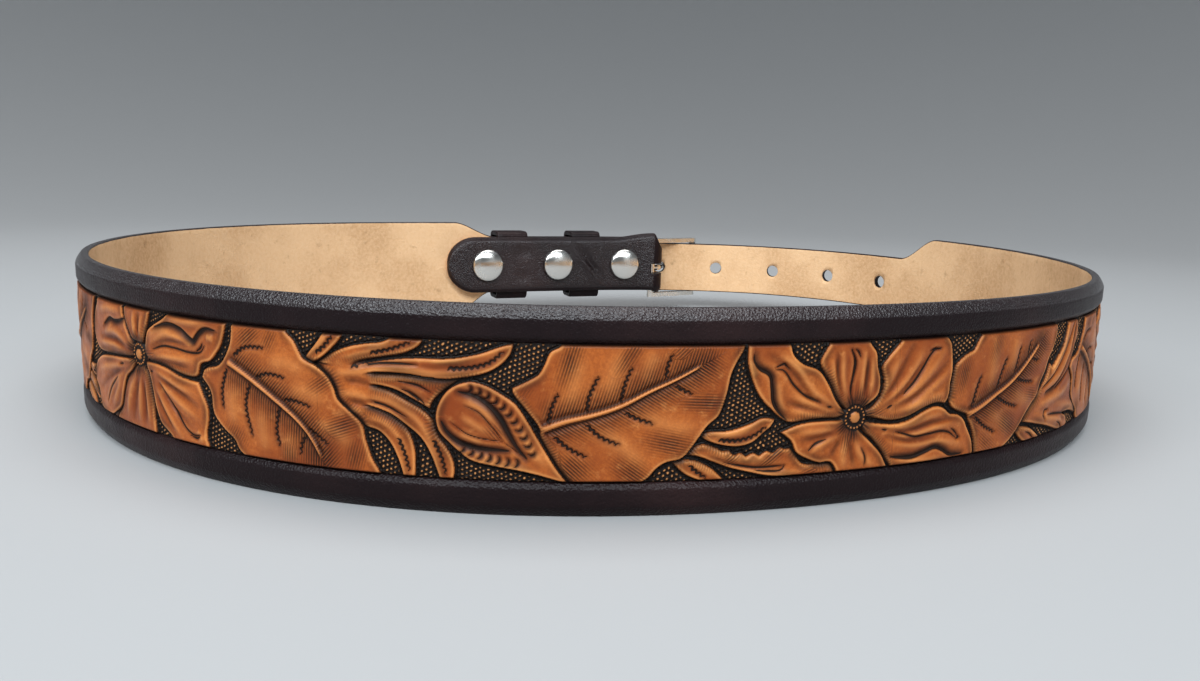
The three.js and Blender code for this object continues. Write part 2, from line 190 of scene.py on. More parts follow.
def turnedMesh(name, profile, steps, place=None):  # a profile of (from the axis, up it), turned round it
    bm = bmesh.new()
    verts = [bm.verts.new((x, 0, z)) for x, z in profile]
    edges = [bm.edges.new(pair) for pair in zip(verts, verts[1:])]
    bmesh.ops.spin(bm, geom=verts + edges, cent=(0, 0, 0), axis=(0, 0, 1), dvec=(0, 0, 0),
                   angle=2 * math.pi, steps=steps, use_merge=True)
    if place is not None:
        bmesh.ops.transform(bm, matrix=place, verts=bm.verts)
    mesh = bpy.data.meshes.new(name)
    bm.to_mesh(mesh)
    bm.free()
    return mesh


weld = 1e-6  # metres


def closeMesh(mesh, sharpAngle=None, fillHoles=True):
    bm = bmesh.new()
    bm.from_mesh(mesh)
    bmesh.ops.remove_doubles(bm, verts=bm.verts, dist=weld)
    bmesh.ops.dissolve_degenerate(bm, edges=bm.edges, dist=weld)
    if fillHoles:
        openEdges = [edge for edge in bm.edges if edge.is_boundary]
        bmesh.ops.holes_fill(bm, edges=openEdges, sides=0)
    bmesh.ops.recalc_face_normals(bm, faces=bm.faces)
    for face in bm.faces:
        face.smooth = True
    if sharpAngle is not None:
        for edge in bm.edges:
            if len(edge.link_faces) == 2 and edge.calc_face_angle(0) > sharpAngle:
                edge.smooth = False
    bm.to_mesh(mesh)
    bm.free()


def addPiece(name, mesh, material, slot, *replaced):
    piece = bpy.data.objects.new(name, mesh)
    bpy.context.scene.collection.objects.link(piece)
    mesh.materials.append(material)
    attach(piece, "root")
    if replaced:
        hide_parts(*replaced)
    return piece


# Materials

def startMaterial(name):
    material = bpy.data.materials.new(name)
    material.use_nodes = True
    tree = material.node_tree
    tree.nodes.clear()
    shader = tree.nodes.new("ShaderNodeBsdfPrincipled")
    output = tree.nodes.new("ShaderNodeOutputMaterial")
    tree.links.new(shader.outputs["BSDF"], output.inputs["Surface"])
    return material, tree, shader


def addNode(tree, kind, inputs=None, **settings):
    made = tree.nodes.new("ShaderNode" + kind)
    for key, value in settings.items():
        setattr(made, key, value)
    for key, value in (inputs or {}).items():
        if isinstance(value, bpy.types.NodeSocket):
            tree.links.new(value, made.inputs[key])
        else:
            made.inputs[key].default_value = value
    return made


def attribute(tree, name):
    return addNode(tree, "Attribute", attribute_name=name).outputs["Fac"]


def maths(tree, operation, a, b=0.0, c=0.0, clamp=False):
    return addNode(tree, "Math", {0: a, 1: b, 2: c}, operation=operation, use_clamp=clamp).outputs[0]


def mixColours(tree, share, a, b, how="MIX"):
    made = addNode(tree, "Mix", {0: share}, data_type="RGBA", blend_type=how)
    for key, value in ((6, a), (7, b)):
        if isinstance(value, bpy.types.NodeSocket):
            tree.links.new(value, made.inputs[key])
        else:
            made.inputs[key].default_value = (*value, 1)
    return made.outputs[2]


def noise(tree, where, scale, detail=3.0, roughness=0.55):
    inputs = {"Vector": where, "Scale": scale, "Detail": detail, "Roughness": roughness}
    return addNode(tree, "TexNoise", inputs).outputs["Fac"]


def ramp(tree, value, low, high, first=0.0, last=1.0):
    inputs = {"Value": value, "From Min": low, "From Max": high, "To Min": first, "To Max": last}
    return addNode(tree, "MapRange", inputs, interpolation_type="SMOOTHSTEP").outputs["Result"]


def objectPlace(tree):
    return addNode(tree, "TexCoord").outputs["Object"]


def bump(tree, height, distance, strength=1.0):
    inputs = {"Height": height, "Distance": distance, "Strength": strength}
    return addNode(tree, "Bump", inputs).outputs["Normal"]


darkFinish = {
    "colour": (0.014, 0.0075, 0.0085),
    "wornAndSheen": (0.03, 0.015, 0.015),
    "roughness": 0.34,
    "gloss": 0.22,
    "edgeCoat": 1.0,
    "coatRoughness": 0.22,
}
suedeFinish = {
    "colour": (0.8, 0.52, 0.3),
    "deep": (0.6, 0.36, 0.19),
    "fibres": (0.86, 0.6, 0.38),
    "specks": (0.36, 0.2, 0.1),
    "roughness": 0.86,
}


def makeStrapLeather():
    material, tree, shader = startMaterial("dyed and natural leather")
    place = objectPlace(tree)
    inner = attribute(tree, "inner")
    edge = attribute(tree, "edge")
    blotches = noise(tree, place, 28, 5, 0.6)
    fibres = noise(tree, place, 900, 4, 0.7)
    specks = noise(tree, place, 260, 3, 0.6)
    pores = addNode(tree, "TexVoronoi", {"Vector": place, "Scale": 2200}, feature="F1").outputs["Distance"]

    dark = mixColours(tree, ramp(tree, blotches, 0.42, 0.75), darkFinish["colour"], darkFinish["wornAndSheen"])
    # Lighter where the edge layer is high: edge wear, and painted sheen on the upper edge's bevel and the
    # fold-back's face
    dark = mixColours(tree, maths(tree, "MULTIPLY", edge, 0.25), dark, darkFinish["wornAndSheen"])
    suede = mixColours(tree, ramp(tree, blotches, 0.35, 0.65), suedeFinish["deep"], suedeFinish["colour"])
    suede = mixColours(tree, ramp(tree, fibres, 0.3, 0.7, 0, 0.45), suede, suedeFinish["fibres"])
    suede = mixColours(tree, ramp(tree, specks, 0.62, 0.8, 0, 0.5), suede, suedeFinish["specks"])
    bleed = maths(tree, "MULTIPLY_ADD", noise(tree, place, 180, 3), 0.5, inner)
    natural = ramp(tree, bleed, 0.95, 1.15)
    tree.links.new(mixColours(tree, natural, dark, suede), shader.inputs["Base Color"])
    roughness = ramp(tree, natural, 0, 1, darkFinish["roughness"], suedeFinish["roughness"])
    roughness = maths(tree, "MULTIPLY_ADD", specks, 0.14, maths(tree, "SUBTRACT", roughness, 0.06))
    tree.links.new(roughness, shader.inputs["Roughness"])
    grain = maths(tree, "ADD", maths(tree, "MULTIPLY", pores, 0.5), maths(tree, "MULTIPLY", fibres, 0.7))
    height = addNode(tree, "Mix", {0: natural, 2: grain, 3: fibres}).outputs[0]
    tree.links.new(bump(tree, height, 0.00024, 0.85), shader.inputs["Normal"])
    tree.links.new(bump(tree, grain, 0.0004), shader.inputs["Coat Normal"])
    shader.inputs["Specular IOR Level"].default_value = darkFinish["gloss"]
    waxed = maths(tree, "MULTIPLY", ramp(tree, edge, 0.05, 0.35), maths(tree, "SUBTRACT", 1.0, natural))
    tree.links.new(maths(tree, "MULTIPLY", waxed, darkFinish["edgeCoat"]), shader.inputs["Coat Weight"])
    shader.inputs["Coat Roughness"].default_value = darkFinish["coatRoughness"]
    return material


toolingLayers = ("ink", "shade", "tone", "cover", "hatch", "phase", "beadU", "beadV")
tooledFinish = {
    "tan": (0.45, 0.13, 0.027),
    "deep": (0.25, 0.056, 0.012),
    "light": (0.85, 0.38, 0.125),
    "tip": (0.52, 0.24, 0.09),
    "stainAndShade": (0.009, 0.0045, 0.003),
    "hatchPitch": 0.52,
    "gloss": 0.3,
}


def makeTooledLeather():
    material, tree, shader = startMaterial("tooled leather")
    place = objectPlace(tree)
    ink, shade, tone, cover, hatch, phase, beadU, beadV = (attribute(tree, name) for name in toolingLayers)
    blotches = noise(tree, place, 60, 5, 0.6)
    specks = noise(tree, place, 420, 3, 0.6)
    fine = noise(tree, place, 1700, 3, 0.7)

    # The stamped ground: round beads in rows, dark between them
    beadU = maths(tree, "MULTIPLY_ADD", noise(tree, place, 640, 1), 0.7, beadU)
    beadU = maths(tree, "SUBTRACT", beadU, 0.35)
    beadV = maths(tree, "SUBTRACT", beadV, 0.35)
    beadV = maths(tree, "MULTIPLY_ADD", noise(tree, place, 520, 1), 0.7, beadV)
    odd = maths(tree, "MODULO", maths(tree, "FLOOR", beadV), 2.0)
    shifted = maths(tree, "MULTIPLY_ADD", odd, 0.5, beadU)
    across = maths(tree, "SUBTRACT", maths(tree, "FRACT", shifted), 0.5)
    up = maths(tree, "SUBTRACT", maths(tree, "FRACT", beadV), 0.5)
    away = maths(tree, "ADD", maths(tree, "MULTIPLY", across, across), maths(tree, "MULTIPLY", up, up))
    bead = ramp(tree, away, 0.1, 0.015)
    ground = ramp(tree, cover, 0.04, -0.06)

    # Hatching, as fine lines that fade in and out
    lines = maths(tree, "SINE", maths(tree, "MULTIPLY", phase, 2 * math.pi / tooledFinish["hatchPitch"]))
    lines = maths(tree, "MULTIPLY_ADD", lines, 0.5, 0.5)
    hatchStrength = maths(tree, "MULTIPLY", hatch, ramp(tree, specks, 0.3, 0.6, 0.7, 1.0))
    grooves = maths(tree, "MULTIPLY", lines, hatchStrength)

    # The dark colour below is the stain in cuts and on the ground together with the painted shade of the
    # shade layer
    inkMask = ramp(tree, ink, -0.07, 0.05)
    half = maths(tree, "MULTIPLY", shade, 0.5)
    uneven = maths(tree, "MULTIPLY_ADD", maths(tree, "SUBTRACT", specks, 0.5), half, shade)
    hatched = maths(tree, "MULTIPLY_ADD", grooves, 0.62, maths(tree, "MULTIPLY", hatch, 0.16))
    uneven = maths(tree, "MAXIMUM", uneven, hatched)
    bare = maths(tree, "POWER", maths(tree, "SUBTRACT", 1.0, uneven, clamp=True), 2.3)
    soft = maths(tree, "SUBTRACT", 1.0, bare, clamp=True)
    tips = maths(tree, "MULTIPLY", bead, ramp(tree, noise(tree, place, 700, 2), 0.25, 0.6, 0.35, 0.9))
    # bead tips dimmed under the painted shade beside outlines
    tips = maths(tree, "MULTIPLY", tips, maths(tree, "SUBTRACT", 1.0, shade, clamp=True))
    tips = maths(tree, "MULTIPLY", tips, ramp(tree, cover, -0.5, -0.95))
    groundStainAndShade = maths(tree, "SUBTRACT", 1.0, tips)
    stainAndShade = addNode(tree, "Mix", {0: ground, 2: soft, 3: groundStainAndShade}).outputs[0]
    stainAndShade = maths(tree, "MAXIMUM", stainAndShade, maths(tree, "MULTIPLY", inkMask, 0.97))

    tan = mixColours(tree, ramp(tree, blotches, 0.35, 0.7), tooledFinish["tan"], tooledFinish["deep"])
    tan = mixColours(tree, ramp(tree, specks, 0.55, 0.8, 0, 0.35), tan, tooledFinish["light"])
    tan = mixColours(tree, ramp(tree, fine, 0.4, 0.62, 0.4, 0), tan, tooledFinish["deep"])
    tan = mixColours(tree, maths(tree, "MULTIPLY", tone, 0.55, clamp=True), tan, tooledFinish["light"])
    tan = mixColours(tree, maths(tree, "MULTIPLY", tone, -0.8, clamp=True), tan, tooledFinish["deep"])
    tan = mixColours(tree, ground, tan, tooledFinish["tip"])
    tree.links.new(mixColours(tree, stainAndShade, tan, tooledFinish["stainAndShade"]), shader.inputs["Base Color"])

    roughness = maths(tree, "MULTIPLY_ADD", stainAndShade, 0.22, ramp(tree, specks, 0.2, 0.8, 0.27, 0.43))
    tree.links.new(roughness, shader.inputs["Roughness"])
    relief = maths(tree, "MULTIPLY_ADD", fine, 0.34, maths(tree, "MULTIPLY", specks, 0.2))
    relief = maths(tree, "SUBTRACT", relief, maths(tree, "MULTIPLY", grooves, 0.6))
    relief = maths(tree, "SUBTRACT", relief, maths(tree, "MULTIPLY", inkMask, 0.9))
    relief = maths(tree, "ADD", relief, maths(tree, "MULTIPLY", bead, maths(tree, "MULTIPLY", ground, 0.8)))
    tree.links.new(bump(tree, relief, 0.00022, 0.8), shader.inputs["Normal"])
    shader.inputs["Specular IOR Level"].default_value = tooledFinish["gloss"]
    return material


def makeKeeperLeather():
    material, tree, shader = startMaterial("keeper leather")
    place = objectPlace(tree)
    blotches = noise(tree, place, 70, 4, 0.6)
    pores = addNode(tree, "TexVoronoi", {"Vector": place, "Scale": 950}, feature="F1").outputs["Distance"]
    specks = noise(tree, place, 300, 3, 0.6)
    dark = mixColours(tree, ramp(tree, blotches, 0.4, 0.75), darkFinish["colour"], darkFinish["wornAndSheen"])
    tree.links.new(dark, shader.inputs["Base Color"])
    tree.links.new(ramp(tree, specks, 0.2, 0.8, 0.3, 0.48), shader.inputs["Roughness"])
    tree.links.new(bump(tree, maths(tree, "ADD", pores, specks), 0.0002, 0.5), shader.inputs["Normal"])
    shader.inputs["Specular IOR Level"].default_value = darkFinish["gloss"]
    return material


nickelFinish = {"dull": (0.72, 0.7, 0.66), "bright": (0.88, 0.86, 0.82)}


def makeNickel():
    material, tree, shader = startMaterial("polished nickel")
    place = objectPlace(tree)
    smears = noise(tree, place, 160, 4, 0.6)
    scratches = noise(tree, place, 2600, 2, 0.5)
    colour = mixColours(tree, smears, nickelFinish["dull"], nickelFinish["bright"])
    tree.links.new(colour, shader.inputs["Base Color"])
    tree.links.new(ramp(tree, smears, 0.3, 0.75, 0.16, 0.32), shader.inputs["Roughness"])
    tree.links.new(bump(tree, scratches, 0.00003, 0.4), shader.inputs["Normal"])
    shader.inputs["Metallic"].default_value = 1.0
    return material


strapLeather = makeStrapLeather()
keeperLeather = makeKeeperLeather()
nickel = makeNickel()

print("strap")

uvScale = 0.01  # a tenth of a metre is one tile

strapShape = {
    "outerRound": 1.4,  # how far the outer edge is rounded through the thickness
    "outerFall": 2.3,  # and down the face
    "innerRound": 0.45,
    "bevelWidth": 1.3,  # of the slope from a border down to the tooled ground
    "ground": 0.9,
    "floor": 1.6,  # under the tooled panel, where nothing shows
    "wideStep": 2.0,
    "narrowStep": 0.9,
    "bendSteps": 26,
    "taperSteps": 27,
    "keeperBulge": (0.5, 0.75),  # of a keeper's width from its middle, where the fold-back comes back down
    "crease": 1.25,  # how deep the fold-back's creases are
    "plainEdge": 0.12,  # how worn and waxed the edges are, with their painted sheen, beside the upper one's 1
    "foldSheen": 0.27,  # the same on the fold-back's face
}


def foldBackOut(along):
    out = outAtSnaps
    capRadius = beltSizes["capDiameter"] / 2
    full, none = (beltSizes["keeperWidth"] * share for share in strapShape["keeperBulge"])
    for keeper in keeperPlaces.values():
        out = blend(out, outAtKeepers, 1 - smoothStep(abs(along - keeper), full, none))
    out = blend(out, barOut - bendRadius, 1 - smoothStep(along, barPlace, snapPlaces[0] - capRadius))
    return blend(out, outAtEnd, smoothStep(along, snapPlaces[2] + capRadius, foldBackEnd))


def foldBackTop(along):
    share = 1 - smoothStep(along, barPlace, foldPlace + beltSizes["foldFlareLength"])
    return neckTop + beltSizes["foldFlare"] * share


def panelHalf(along):  # half the tooled panel's height, which runs out to a point at each taper
    along = np.asarray(along, float)
    fromEnd = np.minimum(along - wideStart, wideEnd - along)
    share = smoothStep(fromEnd, 0, beltSizes["taper"]) ** 0.75
    return (beltSizes["width"] / 2 - beltSizes["border"]) * share


def roundEnd(length, count):  # ways from a tip, closer together near it
    return length * (1 - np.cos(np.linspace(0, 1, count + 1) * math.pi / 2))


def tipShare(fromTip, length):
    away = np.clip(1 - fromTip / length, 0, 1)
    return math.sqrt(1 - away * away)


def strapStations():
    stations = []
    step = strapShape["narrowStep"]

    def add(along, out, low, top, turn=0.0, thick=1.0):
        panel = float(panelHalf(along)) if wideStart < along < wideEnd and turn == 0 else 0.0
        stations.append((along, out, low, top, turn, panel, thick))

    # The fold-back, from its round end to the bend
    endRadius = beltSizes["neckWidth"] / 2
    middle = beltSizes["neckMiddle"]
    for fromTip in roundEnd(endRadius, 22):
        along = foldBackEnd - fromTip
        half = endRadius * tipShare(fromTip, endRadius)
        add(along, foldBackOut(along), middle - half, middle + half, math.pi, tipShare(fromTip, 1.2))
    start = foldBackEnd - endRadius
    for along in np.linspace(start, barPlace, round((start - barPlace) / step) + 1)[1:]:
        add(along, foldBackOut(along), neckLow, foldBackTop(along), math.pi)

    # The bend round the buckle's bar
    bendSteps = strapShape["bendSteps"]
    for i in range(1, bendSteps):
        angle = math.pi * i / bendSteps - math.pi / 2
        cut = smoothStep(angle, -math.pi / 2, -math.pi / 8)
        add(barPlace - bendRadius * math.cos(angle), barOut + bendRadius * math.sin(angle),
            blend(neckLow, billetLow, cut), blend(foldBackTop(barPlace), billetTop, cut),
            math.pi / 2 - angle)

    # The neck, the wide strap and the billet
    for along in np.linspace(barPlace, wideStart, round((wideStart - barPlace) / step) + 1)[:-1]:
        wide = smoothStep(along, neckEnd, wideStart)
        cut = 1 - smoothStep(along, barPlace, barPlace + leather)
        add(along, neckOut, blend(blend(neckLow, billetLow, cut), 0, wide),
            blend(blend(neckTop, billetTop, cut), beltSizes["width"], wide))
    taper = beltSizes["taper"]
    ends = np.linspace(0, taper, strapShape["taperSteps"] + 1)
    middles = np.linspace(wideStart + taper, wideEnd - taper,
                          round((wideEnd - wideStart - 2 * taper) / strapShape["wideStep"]))
    for along in np.concatenate([wideStart + ends[:-1], middles, wideEnd - ends[::-1][1:]]):
        add(along, neckOut, 0, beltSizes["width"])
    tipStart = billetTip - beltSizes["billetPoint"]
    overNeck = loopLength + foldPlace - beltSizes["frameReach"]
    for along in np.linspace(wideEnd, tipStart, round((tipStart - wideEnd) / step) + 1)[1:]:
        narrow = smoothStep(along, wideEnd, billetStart)
        out = blend(neckOut, billetOut, smoothStep(along, billetStart, overNeck))
        add(along, out, blend(0, billetLow, narrow), blend(beltSizes["width"], billetTop, narrow))
    for fromTip in roundEnd(beltSizes["billetPoint"], 30)[::-1][1:]:
        half = beltSizes["billetWidth"] / 2 * tipShare(fromTip, beltSizes["billetPoint"])
        middle = beltSizes["billetMiddle"]
        add(billetTip - fromTip, billetOut, middle - half, middle + half, 0, tipShare(fromTip, 1.2))
    return stations


def strapRing(half, panel, thick):  # rows of (out, up, inner, edge) round one section
    face = leather / 2 * thick
    outerRound = min(strapShape["outerRound"], half * 0.6, face)
    outerFall = min(strapShape["outerFall"], half * 0.5)
    innerRound = min(strapShape["innerRound"], half * 0.3, face / 2)
    deep = min(panel / 3, 1)
    bevelFoot = max(panel, half * 0.06)
    bevelTop = min(max(panel + strapShape["bevelWidth"] * deep, half * 0.12), half - outerFall)
    ground = strapShape["ground"] * deep
    floor = strapShape["floor"] * deep
    side = [(-face, share * (half - innerRound), 1, 0) for share in (0, 0.4, 0.75, 0.93, 1)]
    for angle in np.radians((150, 120, 90)):
        side.append((innerRound - face + innerRound * math.cos(angle),
                     half - innerRound + innerRound * math.sin(angle), 0.5 if angle > 2 else 0, 0.8))
    for angle in np.radians((90, 80, 70, 60, 50, 40, 30, 20, 10, 0)):
        side.append((face - outerRound + outerRound * math.cos(angle) ** 1.6,
                     half - outerFall + outerFall * math.sin(angle) ** 1.6, 0, math.sin(angle)))
    for share in (0.25, 0.5, 0.75, 1):
        side.append((face, blend(half - outerFall, bevelTop, share), 0, 0))
    for share in (0.2, 0.4, 0.6, 0.8, 1):
        side.append((face - ground * share ** 1.5, blend(bevelTop, bevelFoot, share), 0, 0))
    side += [(face - floor, bevelFoot * share, 0, 0) for share in (1, 0.5, 0)]
    mirrored = [(out, -up, inner, edge) for out, up, inner, edge in side[-2::-1]]
    return np.array(side + mirrored)


def creaseDepth(along, up):  # the pulled leather between the snaps
    first, middle, last = snapPlaces
    shape = strapShape["crease"]
    slant = ((along - (first + middle) / 2) - (up - beltSizes["neckMiddle"]) * 0.9) / 1.35
    ends = np.exp(-((along - (first + middle) / 2) / 7.5) ** 4)
    depth = shape * (0.7 * np.exp(-((slant - 2.2) / 1.5) ** 2) - np.exp(-(slant / 1.1) ** 2)) * ends
    away = along - (middle + last) / 2
    for dent, strength in ((5.2, 1.0), (-4.8, 0.8)):
        near = np.exp(-((up - beltSizes["neckMiddle"] - dent) / 1.4) ** 2 - (away / 3.6) ** 4)
        depth = depth - shape * strength * 0.8 * near
    return depth


def makeStrap():
    points, inners, edges, uvs = [], [], [], []
    for along, out, low, top, turn, panel, thick in strapStations():
        ring = strapRing((top - low) / 2, panel, thick)
        wide = low == 0 and top == beltSizes["width"]
        # the full edge layer, with its wear and painted sheen, only on the wide part's upper edge
        ring[:, 3] *= np.where((ring[:, 1] > 0) & wide, 1, strapShape["plainEdge"])
        if turn == math.pi:
            face = ring[:, 0] > leather * 0.4 * thick
            ring[:, 0] += np.where(face, creaseDepth(along, (low + top) / 2 + ring[:, 1]), 0) * thick
            # painted sheen on the fold-back's face, in its colour as well as its coat
            ring[:, 3] = np.where(face, strapShape["foldSheen"], ring[:, 3])
        alongs = along - ring[:, 0] * math.sin(turn)
        outs = out + ring[:, 0] * math.cos(turn)
        points.append(beltPoint(alongs, outs, (low + top) / 2 + ring[:, 1]))
        uvs.append(np.stack([np.full(len(ring), along), waysAlong(ring[:, :2])], axis=1) * uvScale)
        inners.append(ring[:, 2])
        edges.append(ring[:, 3])
    layers = {"inner": np.array(inners), "edge": np.array(edges)}
    mesh = gridMesh("belt leather", np.array(points), layers, np.array(uvs))
    closeMesh(mesh)
    return mesh


holeShape = {
    "sides": 40,
    "reach": 1.8,  # of a cutter, to each side of the leather's middle
    "slotMiddle": 2.65,  # from the fold
    "slotLength": 5.9,
    "slotHeight": 4.4,
    "edge": 0.6,  # how worn and waxed the cut walls are
}


def addHoleCutter(bm, along, out):
    at = Vector(beltPoint(along, out, beltSizes["billetMiddle"]))
    way = Vector((*outwardAt(along), 0))
    turn = way.to_track_quat("Z", "Y").to_matrix().to_4x4()
    radius = beltSizes["holeDiameter"] / 2 * mm
    bmesh.ops.create_cone(bm, cap_ends=True, segments=holeShape["sides"], radius1=radius, radius2=radius,
                          depth=2 * holeShape["reach"] * mm, matrix=Matrix.Translation(at) @ turn)
    return np.array(at), np.array(way)


def addSlotCutter(bm):
    middle = foldPlace + holeShape["slotMiddle"]
    outer = room / 2
    inner = barOut - bendRadius - leather
    at = Vector(beltPoint(middle, (outer + inner) / 2, beltSizes["billetMiddle"]))
    outward = outwardAt(middle)
    turn = Matrix.Rotation(math.atan2(outward[1], outward[0]) - math.pi / 2, 4, "Z")
    size = (holeShape["slotLength"] * mm, (outer - inner) * mm, holeShape["slotHeight"] * mm, 1)
    bmesh.ops.create_cube(bm, size=1, matrix=Matrix.Translation(at) @ turn @ Matrix.Diagonal(size))


def cutHoles(piece):  # the billet's holes and the prong's slot
    bm = bmesh.new()
    holes = []
    for i in range(-beltSizes["freeHoles"], beltSizes["tipHoles"] + 1):
        along = prongHole + i * beltSizes["holeSpacing"]
        share = smoothStep(along, foldPlace - beltSizes["billetNeck"], foldPlace - beltSizes["frameReach"])
        holes.append(addHoleCutter(bm, along, blend(neckOut, billetOut, share)))
    addSlotCutter(bm)
    mesh = bpy.data.meshes.new("cutters")
    bm.to_mesh(mesh)
    bm.free()
    for layerName, value in (("inner", 0.0), ("edge", holeShape["edge"])):
        layer = mesh.attributes.new(layerName, "FLOAT", "POINT")
        layer.data.foreach_set("value", np.full(len(mesh.vertices), value, np.float32))
    cutters = bpy.data.objects.new("cutters", mesh)
    bpy.context.scene.collection.objects.link(cutters)
    cut = piece.modifiers.new("holes", "BOOLEAN")
    cut.operation = "DIFFERENCE"
    cut.solver = "EXACT"
    cut.object = cutters
    bpy.context.view_layer.update()
    ready = bpy.data.meshes.new_from_object(piece.evaluated_get(bpy.context.evaluated_depsgraph_get()))
    finishRims(ready, holes)
    piece.modifiers.clear()
    piece.data = ready
    bpy.data.objects.remove(cutters)


def finishRims(mesh, holes):  # each hole's rim keeps the finish of its own side
    places = np.empty(len(mesh.vertices) * 3, np.float32)
    mesh.vertices.foreach_get("co", places)
    places = places.reshape(-1, 3)
    inner = np.empty(len(mesh.vertices), np.float32)
    mesh.attributes["inner"].data.foreach_get("value", inner)
    for at, way in holes:
        away = places - at
        out = away @ way
        radial = np.sqrt(np.maximum((away ** 2).sum(axis=1) - out ** 2, 0))
        rim = (radial < (beltSizes["holeDiameter"] / 2 + 0.1) * mm) & (np.abs(out) < leather * mm)
        inner[rim] = out[rim] < 0
    mesh.attributes["inner"].data.foreach_set("value", inner)


strap = addPiece("belt_leather", makeStrap(), strapLeather, "dark_leather", "belt_strap")
cutHoles(strap)

print("tooled panel")

panelPlan = {  # each part has its first and last place along the belt, and its mesh's step
    "parts": ((-361.5, -165, 0.3), (-165, -55, 0.2), (-55, 55, 0.2), (55, 165, 0.2), (165, 287.0, 0.3)),
    "floor": 1.5,
}


def smoothLine(points, closed=False, perSpan=5, cornerTurn=55):
    # A smooth line through the points, with corners where it turns sharply
    points = np.array(points, float)
    count = len(points)
    spans = count if closed else count - 1
    after = np.roll(points, -1, axis=0) - points
    before = points - np.roll(points, 1, axis=0)
    if not closed:
        after[-1], before[0] = before[-1], after[0]
    unitAfter = after / np.linalg.norm(after, axis=1)[:, None]
    unitBefore = before / np.linalg.norm(before, axis=1)[:, None]
    turn = np.degrees(np.arccos(np.clip((unitAfter * unitBefore).sum(axis=1), -1, 1)))
    middle = unitAfter + unitBefore
    middle /= np.maximum(np.linalg.norm(middle, axis=1), 1e-9)[:, None]
    corner = (turn > cornerTurn)[:, None]
    leaving = np.where(corner, unitAfter, middle)
    arriving = np.where(corner, unitBefore, middle)
    line = []
    for i in range(spans):
        j = (i + 1) % count
        size = np.linalg.norm(points[j] - points[i])
        for share in np.arange(perSpan) / perSpan:
            square, cube = share ** 2, share ** 3
            line.append((2 * cube - 3 * square + 1) * points[i] + (3 * square - 2 * cube) * points[j]
                        + size * ((cube - 2 * square + share) * leaving[i] + (cube - square) * arriving[j]))
    line.append(points[0] if closed else points[-1])
    return np.array(line)


def lineDistance(line, s, z):  # distance, way along the line, and 1 on its left or -1 on its right
    best = np.full(s.shape, 1e9)
    way = np.zeros(s.shape)
    side = np.ones(s.shape)
    sofar = 0.0
    for (s0, z0), (s1, z1) in zip(line[:-1], line[1:]):
        ds, dz = s1 - s0, z1 - z0
        size = math.hypot(ds, dz)
        if size < 1e-6:
            continue
        share = np.clip(((s - s0) * ds + (z - z0) * dz) / size ** 2, 0, 1)
        away = (s - s0 - share * ds) ** 2 + (z - z0 - share * dz) ** 2
        closer = away < best
        best = np.where(closer, away, best)
        way = np.where(closer, sofar + share * size, way)
        side = np.where(closer, np.where(ds * (z - z0) - dz * (s - s0) >= 0, 1, -1), side)
        sofar += size
    return np.sqrt(best), way, side, sofar


def insideLine(line, s, z):
    inside = np.zeros(s.shape, bool)
    for (s0, z0), (s1, z1) in zip(line[:-1], line[1:]):
        if z0 == z1:
            continue
        crosses = (z0 > z) != (z1 > z)
        inside ^= crosses & (s < (s1 - s0) * (z - z0) / (z1 - z0) + s0)
    return inside


def wavyLine(points, wave=1.05, swing=0.48):
    line = smoothLine(points, perSpan=8)
    ways = waysAlong(line)
    even = np.linspace(0, ways[-1], max(8, int(ways[-1] / wave * 8)))
    middle = readLine(even, ways, line)
    tangent = np.gradient(middle, axis=0)
    tangent /= np.linalg.norm(tangent, axis=1)[:, None]
    shift = swing * (np.abs(np.sin(even * math.pi / wave)) - 0.5)
    return middle + np.stack([-tangent[:, 1], tangent[:, 0]], axis=1) * shift[:, None]


def crescents(line, spacing=1.65, size=0.8):  # short curved stamps across a line, in a row
    ways = waysAlong(line)
    for way in np.arange(spacing / 2, ways[-1], spacing):
        here, ahead = (readLine(at, ways, line) for at in (way, way + 0.2))
        forward = (ahead - here) / max(np.linalg.norm(ahead - here), 1e-6)
        across = np.array([-forward[1], forward[0]])
        arc = ((-1, -0.35), (-0.45, 0.3), (0.45, 0.3), (1, -0.35))
        yield smoothLine([here + size * (side * across + front * forward) for side, front in arc])


